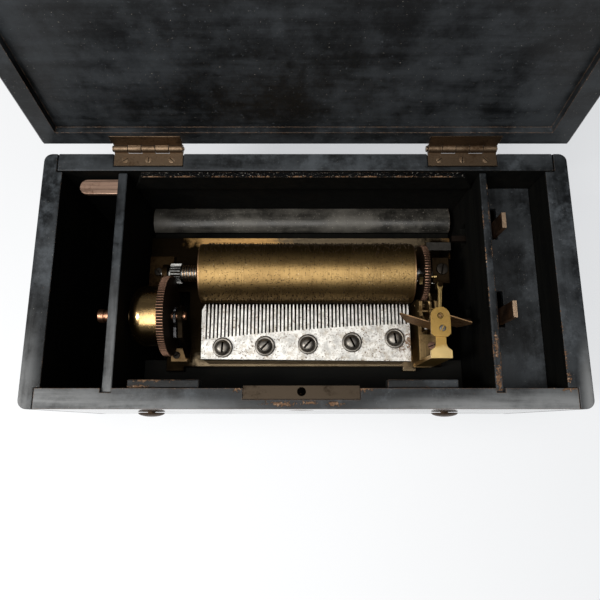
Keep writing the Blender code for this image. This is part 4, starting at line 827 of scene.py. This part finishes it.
def pins(low_x, high_x, centre, radius):
    """Steel pins in four rows to each tooth of the comb, one row for each tune."""
    tunes, height, half = 4, 0.00085, 0.00021
    bare_left, bare_right = 0.0028, 0.0020
    pitch = (high_x - low_x - (bare_left + bare_right)) / COMB_TEETH
    bm = bmesh.new()
    for tooth in range(COMB_TEETH):
        for tune in range(tunes):
            x = low_x + bare_left + (tooth + (tune + 0.5) / tunes) * pitch
            for _ in range(random.randint(9, 17)):
                angle = random.uniform(0, 2 * math.pi)
                out = Vector((0, math.cos(angle), math.sin(angle)))
                side = Vector((0, -out.z, out.y))
                foot = Vector((x + random.uniform(-0.00012, 0.00012), *centre)) + out * (radius - 0.0001)
                lean = side * random.uniform(-0.00008, 0.00008)
                base = [bm.verts.new(foot + Vector((half * math.cos(t), 0, 0)) + side * half * math.sin(t))
                        for t in (0, math.pi / 2, math.pi, 3 * math.pi / 2)]
                tip = [bm.verts.new(v.co + out * height * random.uniform(0.85, 1.0) + lean -
                                    (v.co - foot) * 0.45) for v in base]
                bm.faces.new(tip)
                bm.faces.new(base[::-1])
                for k in range(4):
                    bm.faces.new((base[k], base[(k + 1) % 4], tip[(k + 1) % 4], tip[k]))
    mesh = as_mesh("cylinder_pins", bm)
    obj = add_object("cylinder_pins", mesh)
    # Painted shade: the pins are near black, as they look with their shadows.
    mesh.materials.append(steel("pin_steel", (0.075, 0.055, 0.038), 0.6, "x", 0.5))
    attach(obj, "cylinder")


def comb():
    """The comb with its teeth, whose roots run forward from the long bass teeth to the short treble ones."""
    low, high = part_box("comb")
    gap, narrow = 0.00096, 0.00026
    taper, point = 0.0030, 0.0006
    first, last = low.x + 0.0023, high.x - 0.0008
    pitch = (last - first) / (COMB_TEETH - 1)
    tip, root_long, root_short = high.y, high.y - 0.0185, high.y - 0.0105
    worn = [((high.x, low.y + 0.010, high.z), (0.012, 0.012, 0.01))]
    finish = steel("comb_steel", (0.72, 0.705, 0.67), 0.66, "y", 0.40, worn, freckles=1.0)

    def root(share):
        return root_long + (root_short - root_long) * (1 - (1 - share) ** 1.5)

    side, shoulder = low.x + 0.0009, low.x + 0.0006
    points = [(high.x, low.y + 0.0001), (side, low.y + 0.0012), (side, root(0) + 0.0055),
              (shoulder, root(0) + 0.0062)]
    for tooth in range(COMB_TEETH):
        left = first + tooth * pitch - pitch / 2 + gap / 2 if tooth else shoulder
        right = first + tooth * pitch + pitch / 2 - gap / 2
        centre = first + tooth * pitch
        points += [(left, tip - taper), (centre - narrow, tip - point), (centre - narrow, tip),
                   (centre + narrow, tip), (centre + narrow, tip - point), (right, tip - taper)]
        if tooth < COMB_TEETH - 1:
            between = root((tooth + 0.5) / (COMB_TEETH - 1))
            points += [(right, between), (right + gap, between)]
    points += [(right, root(1)), (high.x, root(1))]
    bm = slab(bmesh.new(), points, "z", low.z, high.z)
    top = [e for e in bm.edges if all(abs(v.co.z - high.z) < SAME_PLACE for v in e.verts)]
    bmesh.ops.bevel(bm, geom=top, offset=0.00007, segments=1, affect="EDGES", clamp_overlap=True)
    piece("comb_shown", bm, "case", finish, 30, ("comb",))


SLOT_DEG = {1: 87, 2: 45, 3: 48, 4: 116, 5: 98}


def comb_screws():
    washer_steel = steel("washer_steel", (0.21, 0.195, 0.175), 0.35, "x", 0.34, freckles=0.3)
    for number, angle in SLOT_DEG.items():
        node = f"comb_screw_{number}"
        low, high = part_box(node)
        centre = ((low.x + high.x) / 2, (low.y + high.y) / 2)
        reach, top, shank = (high.x - low.x) / 2, high.z, 0.0016
        seat = top - 0.0025
        washer = [(seat, reach - 0.0002), (seat + 0.0002, reach), (seat + 0.0007, reach),
                  (seat + 0.0010, reach - 0.0003), (seat + 0.00112, reach - 0.0008),
                  (seat + 0.0010, reach - 0.0012), (seat + 0.0008, 0.0037), (seat + 0.0006, 0.0035)]
        head = [(seat + 0.0014, 0.0034), (seat + 0.0018, 0.0031), (top - 0.0004, 0.0026), (top, 0.0018), (top, 0)]
        profile = [(low.z, 0), (low.z, shank), (seat, shank)] + washer + head
        obj = piece(node + "_shown", turn(bmesh.new(), profile, "z", centre, 64), "case", washer_steel,
                    SMOOTH_DEG, (node,))
        cut_slot(obj, (*centre, top), 0.0056, 0.00105, 0.0014, angle)


def barrel():
    low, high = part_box("spring_barrel")
    axis = middle("spring_barrel")
    radius = (high.z - low.z) / 2
    centre = (axis.y, axis.z)
    round_off, wall, bore = 0.0070, 0.0011, 0.0025
    outer = list(arc((low.x + round_off, radius - round_off), round_off, 180, 90, 14))
    inner = list(arc((low.x + round_off, radius - round_off), round_off - wall, 90, 180, 8))
    chamfer = 0.0002
    profile = [(low.x, bore)] + outer
    profile += [(high.x - chamfer, radius), (high.x, radius - chamfer), (high.x, radius - wall)]
    profile += inner + [(low.x + wall, bore)]
    finish = brass("barrel_brass", (0.50, 0.330, 0.145), 0.35, None, 0.20, 0.5)
    piece("spring_barrel_shown", turn(bmesh.new(), profile, "x", centre, 128), "spring_barrel", finish, 30,
          ("spring_barrel",))


def wheels():
    # Painted shade: the great wheels' tooth flanks and tooth gaps are black, so only the tooth tips show lit.
    flank_shade = brass("wheel_flank_shade", (0.085, 0.050, 0.034), 0.6, None, 0.6)
    for node, teeth in GREAT_WHEEL_TEETH.items():
        axis = middle(node)

        def on_flank(normal, place):
            around = Vector((0, place.z - axis.z, axis.y - place.y)).normalized()
            return abs(around.dot(normal)) > 0.6

        root = GEAR_MODULE * (teeth / 2 - 0.25)
        refine(node, 0.00006,
               brass(node + "_pink", (0.30, 0.172, 0.117), 0.35, None, 0.36, edge=1.0, dark_faces=(1, 0, 0),
                     dark_roots=(axis.y, axis.z, root)), 1,
               inner=flank_shade, is_inner=on_flank)
    pinion, pinion_root = middle("cylinder_pinion"), 0.0047
    refine("first_governor_wheel", 0.00005, brass("first_wheel_brass", (0.17, 0.12, 0.065), 0.5, None, 0.34),
           1)
    refine("worm_wheel", 0.00005, brass("worm_wheel_brass", (0.30, 0.21, 0.10), 0.5, None, 0.32), 1)
    # Painted shade: the pinion's tooth gaps are black inside pinion_root.
    refine("cylinder_pinion", 0.00006,
           steel("pinion_steel", (0.40, 0.40, 0.385), 0.2, dark_roots=(pinion.y, pinion.z, pinion_root)), 1)
    refine("cylinder_arbor", 0.0002, steel("arbor_steel", (0.42, 0.42, 0.40), 0.25))
    refine("winding_arbor", 0.0002, brass("winding_brass", (0.44, 0.235, 0.145), 0.4, None, 0.34), 2)
    refine("arbor_bush", 0.0002, brass("bush_brass", (0.20, 0.135, 0.07), 0.5))
    dark = steel("dark_steel_finish", (0.10, 0.10, 0.105), 0.2)
    for node in ("ratchet_wheel", "click"):
        refine(node, 0.0001, dark, 1)
    refine("mainspring", 0.00004, dark, 1)


def shift_spring():
    """The coil between the pinion and the cylinder."""
    low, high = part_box("shift_spring")
    axis = middle("cylinder_arbor")
    wire, turns, around = 0.00036, 6.5, 28
    radius = (high.z - low.z) / 2 - wire
    curve = bpy.data.curves.new("shift_spring_wire", "CURVE")
    curve.dimensions = "3D"
    curve.bevel_depth = wire
    curve.bevel_resolution = 4
    curve.use_fill_caps = True
    spline = curve.splines.new("POLY")
    steps = int(turns * around)
    spline.points.add(steps)
    for i, point in enumerate(spline.points):
        angle = 2 * math.pi * i / around
        x = low.x + wire + (high.x - low.x - 2 * wire) * i / steps
        point.co = (x, axis.y + radius * math.cos(angle), axis.z + radius * math.sin(angle), 1)
    curve.materials.append(brass("spring_brass", (0.36, 0.26, 0.17), 0.3, None, 0.34))
    drawn = add_object("shift_spring_wire", curve)
    mesh = evaluated(drawn)
    bpy.data.objects.remove(drawn)
    obj = add_object("shift_spring_shown", mesh)
    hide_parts("shift_spring")
    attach(obj, BODY_OF["shift_spring"])
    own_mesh(obj)


def fly():
    """The arbor and hub of the CAD model, with blades whose lower edges lean forward and whose ends are pointed."""
    node_low, node_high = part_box("fly")
    x, y = FLY_AT.x, FLY_AT.y
    foot, top = node_low.z, node_high.z
    low_z, high_z = top - 0.0141, top - 0.0058
    pivot, arbor, collar, hub = 0.0006, 0.00105, 0.0018, 0.0020
    hub_half, blade_half = 0.0030, 0.00024
    finish = brass("fly_brass", (0.32, 0.195, 0.100), 0.4, "x", 0.46)
    profile = [(foot, 0), (foot, pivot), (foot + 0.0030, pivot), (foot + 0.0032, arbor), (low_z - 0.0012, arbor),
               (low_z - 0.0010, collar), (low_z - 0.0008, hub), (high_z + 0.0008, hub), (high_z + 0.0010, collar),
               (high_z + 0.0010, pivot), (top - 0.0001, pivot), (top, 0.0005), (top, 0)]
    bm = turn(bmesh.new(), profile, "z", (x, y), 40)
    spin = Matrix.Translation((x, y, 0)) @ Matrix.Rotation(math.radians(-17.5), 4, "Z")
    parts = slab(bmesh.new(), [(-0.0010, -hub_half), (0.0010, -hub_half), (0.0010, hub_half), (-0.0010, hub_half)],
                 "z", low_z + 0.002, high_z - 0.002)
    for side, reach, lean in ((-1, 0.0178, 0.0014), (1, 0.0170, 0.0024)):
        outline = [(-0.0016, low_z), (reach - 0.0050, low_z), (reach, high_z - 0.0012), (reach - 0.0004, high_z),
                   (-0.0016, high_z)]
        blade = slab(bmesh.new(), [(side * px, pz) for px, pz in outline], "y", side * hub_half - blade_half,
                     side * hub_half + blade_half)
        for v in blade.verts:
            v.co.y -= lean * (high_z - v.co.z) / (high_z - low_z)
        bevel_sharp(blade, 0.00008, 1)
        add_bmesh(parts, blade)
    parts.transform(spin)
    add_bmesh(bm, parts)
    piece("fly_shown", bm, "fly", finish, 30, ("fly",))


def build():
    case()
    metal_trim()
    movement_plates()
    small_screws()
    hinge_screws()
    cylinder()
    comb()
    comb_screws()
    barrel()
    wheels()
    shift_spring()
    fly()
    worm_thread()


# ---- the stage


def light(name, place, target, size, power, colour):
    data = bpy.data.lights.new(name, "AREA")
    data.shape = "RECTANGLE"
    data.size, data.size_y = size
    data.energy = power
    data.color = colour
    obj = add_object(name, data)
    obj.location = place
    obj.rotation_euler = (Vector(target) - Vector(place)).to_track_quat("-Z", "Y").to_euler()


def stage():
    """A pale floor that glows a little, a large soft light above and a small one at the left."""
    floor_reach, below_case = 2.5, 0.0002
    bm = bmesh.new()
    bmesh.ops.create_grid(bm, x_segments=1, y_segments=1, size=floor_reach)
    mesh = as_mesh("floor", bm)
    floor = add_object("floor", mesh)
    floor.location.z = cad_box[0].z - below_case
    p = Paint("floor_paint", 0.55)
    p.set(base_color=p.mix(p.noise(3, 3), (0.31, 0.315, 0.32), (0.35, 0.35, 0.35)))
    p.set(emission_color=(0.95, 0.97, 1.0), emission_strength=0.56)
    mesh.materials.append(p.material)
    light("overhead", (-0.10, -0.32, 1.02), (0, 0, 0.05), (0.62, 0.98), 9.0, (1.0, 0.985, 0.96))
    light("window", (-0.78, -0.24, 0.95), (0, 0, 0.06), (0.20, 0.30), 9.0, (1.0, 0.98, 0.95))
    world = bpy.data.worlds.new("studio")
    world.use_nodes = True
    background = world.node_tree.nodes["Background"].inputs
    background["Color"].default_value = (0.93, 0.96, 1.0, 1)
    background["Strength"].default_value = 0.07
    bpy.context.scene.world = world
    bpy.context.scene.view_settings.view_transform = "Standard"


def camera():
    """Almost straight above, a little in front, as a person looks into the open box."""
    data = bpy.data.cameras.new("camera")
    data.sensor_width = 36
    data.lens = 33.08
    data.clip_start = 0.01
    obj = add_object("camera", data)
    obj.location = (-0.0027, -0.0696, 0.3517)
    obj.rotation_euler = (math.radians(12.82), 0, 0)
    bpy.context.scene.camera = obj


camera()
build()
stage()
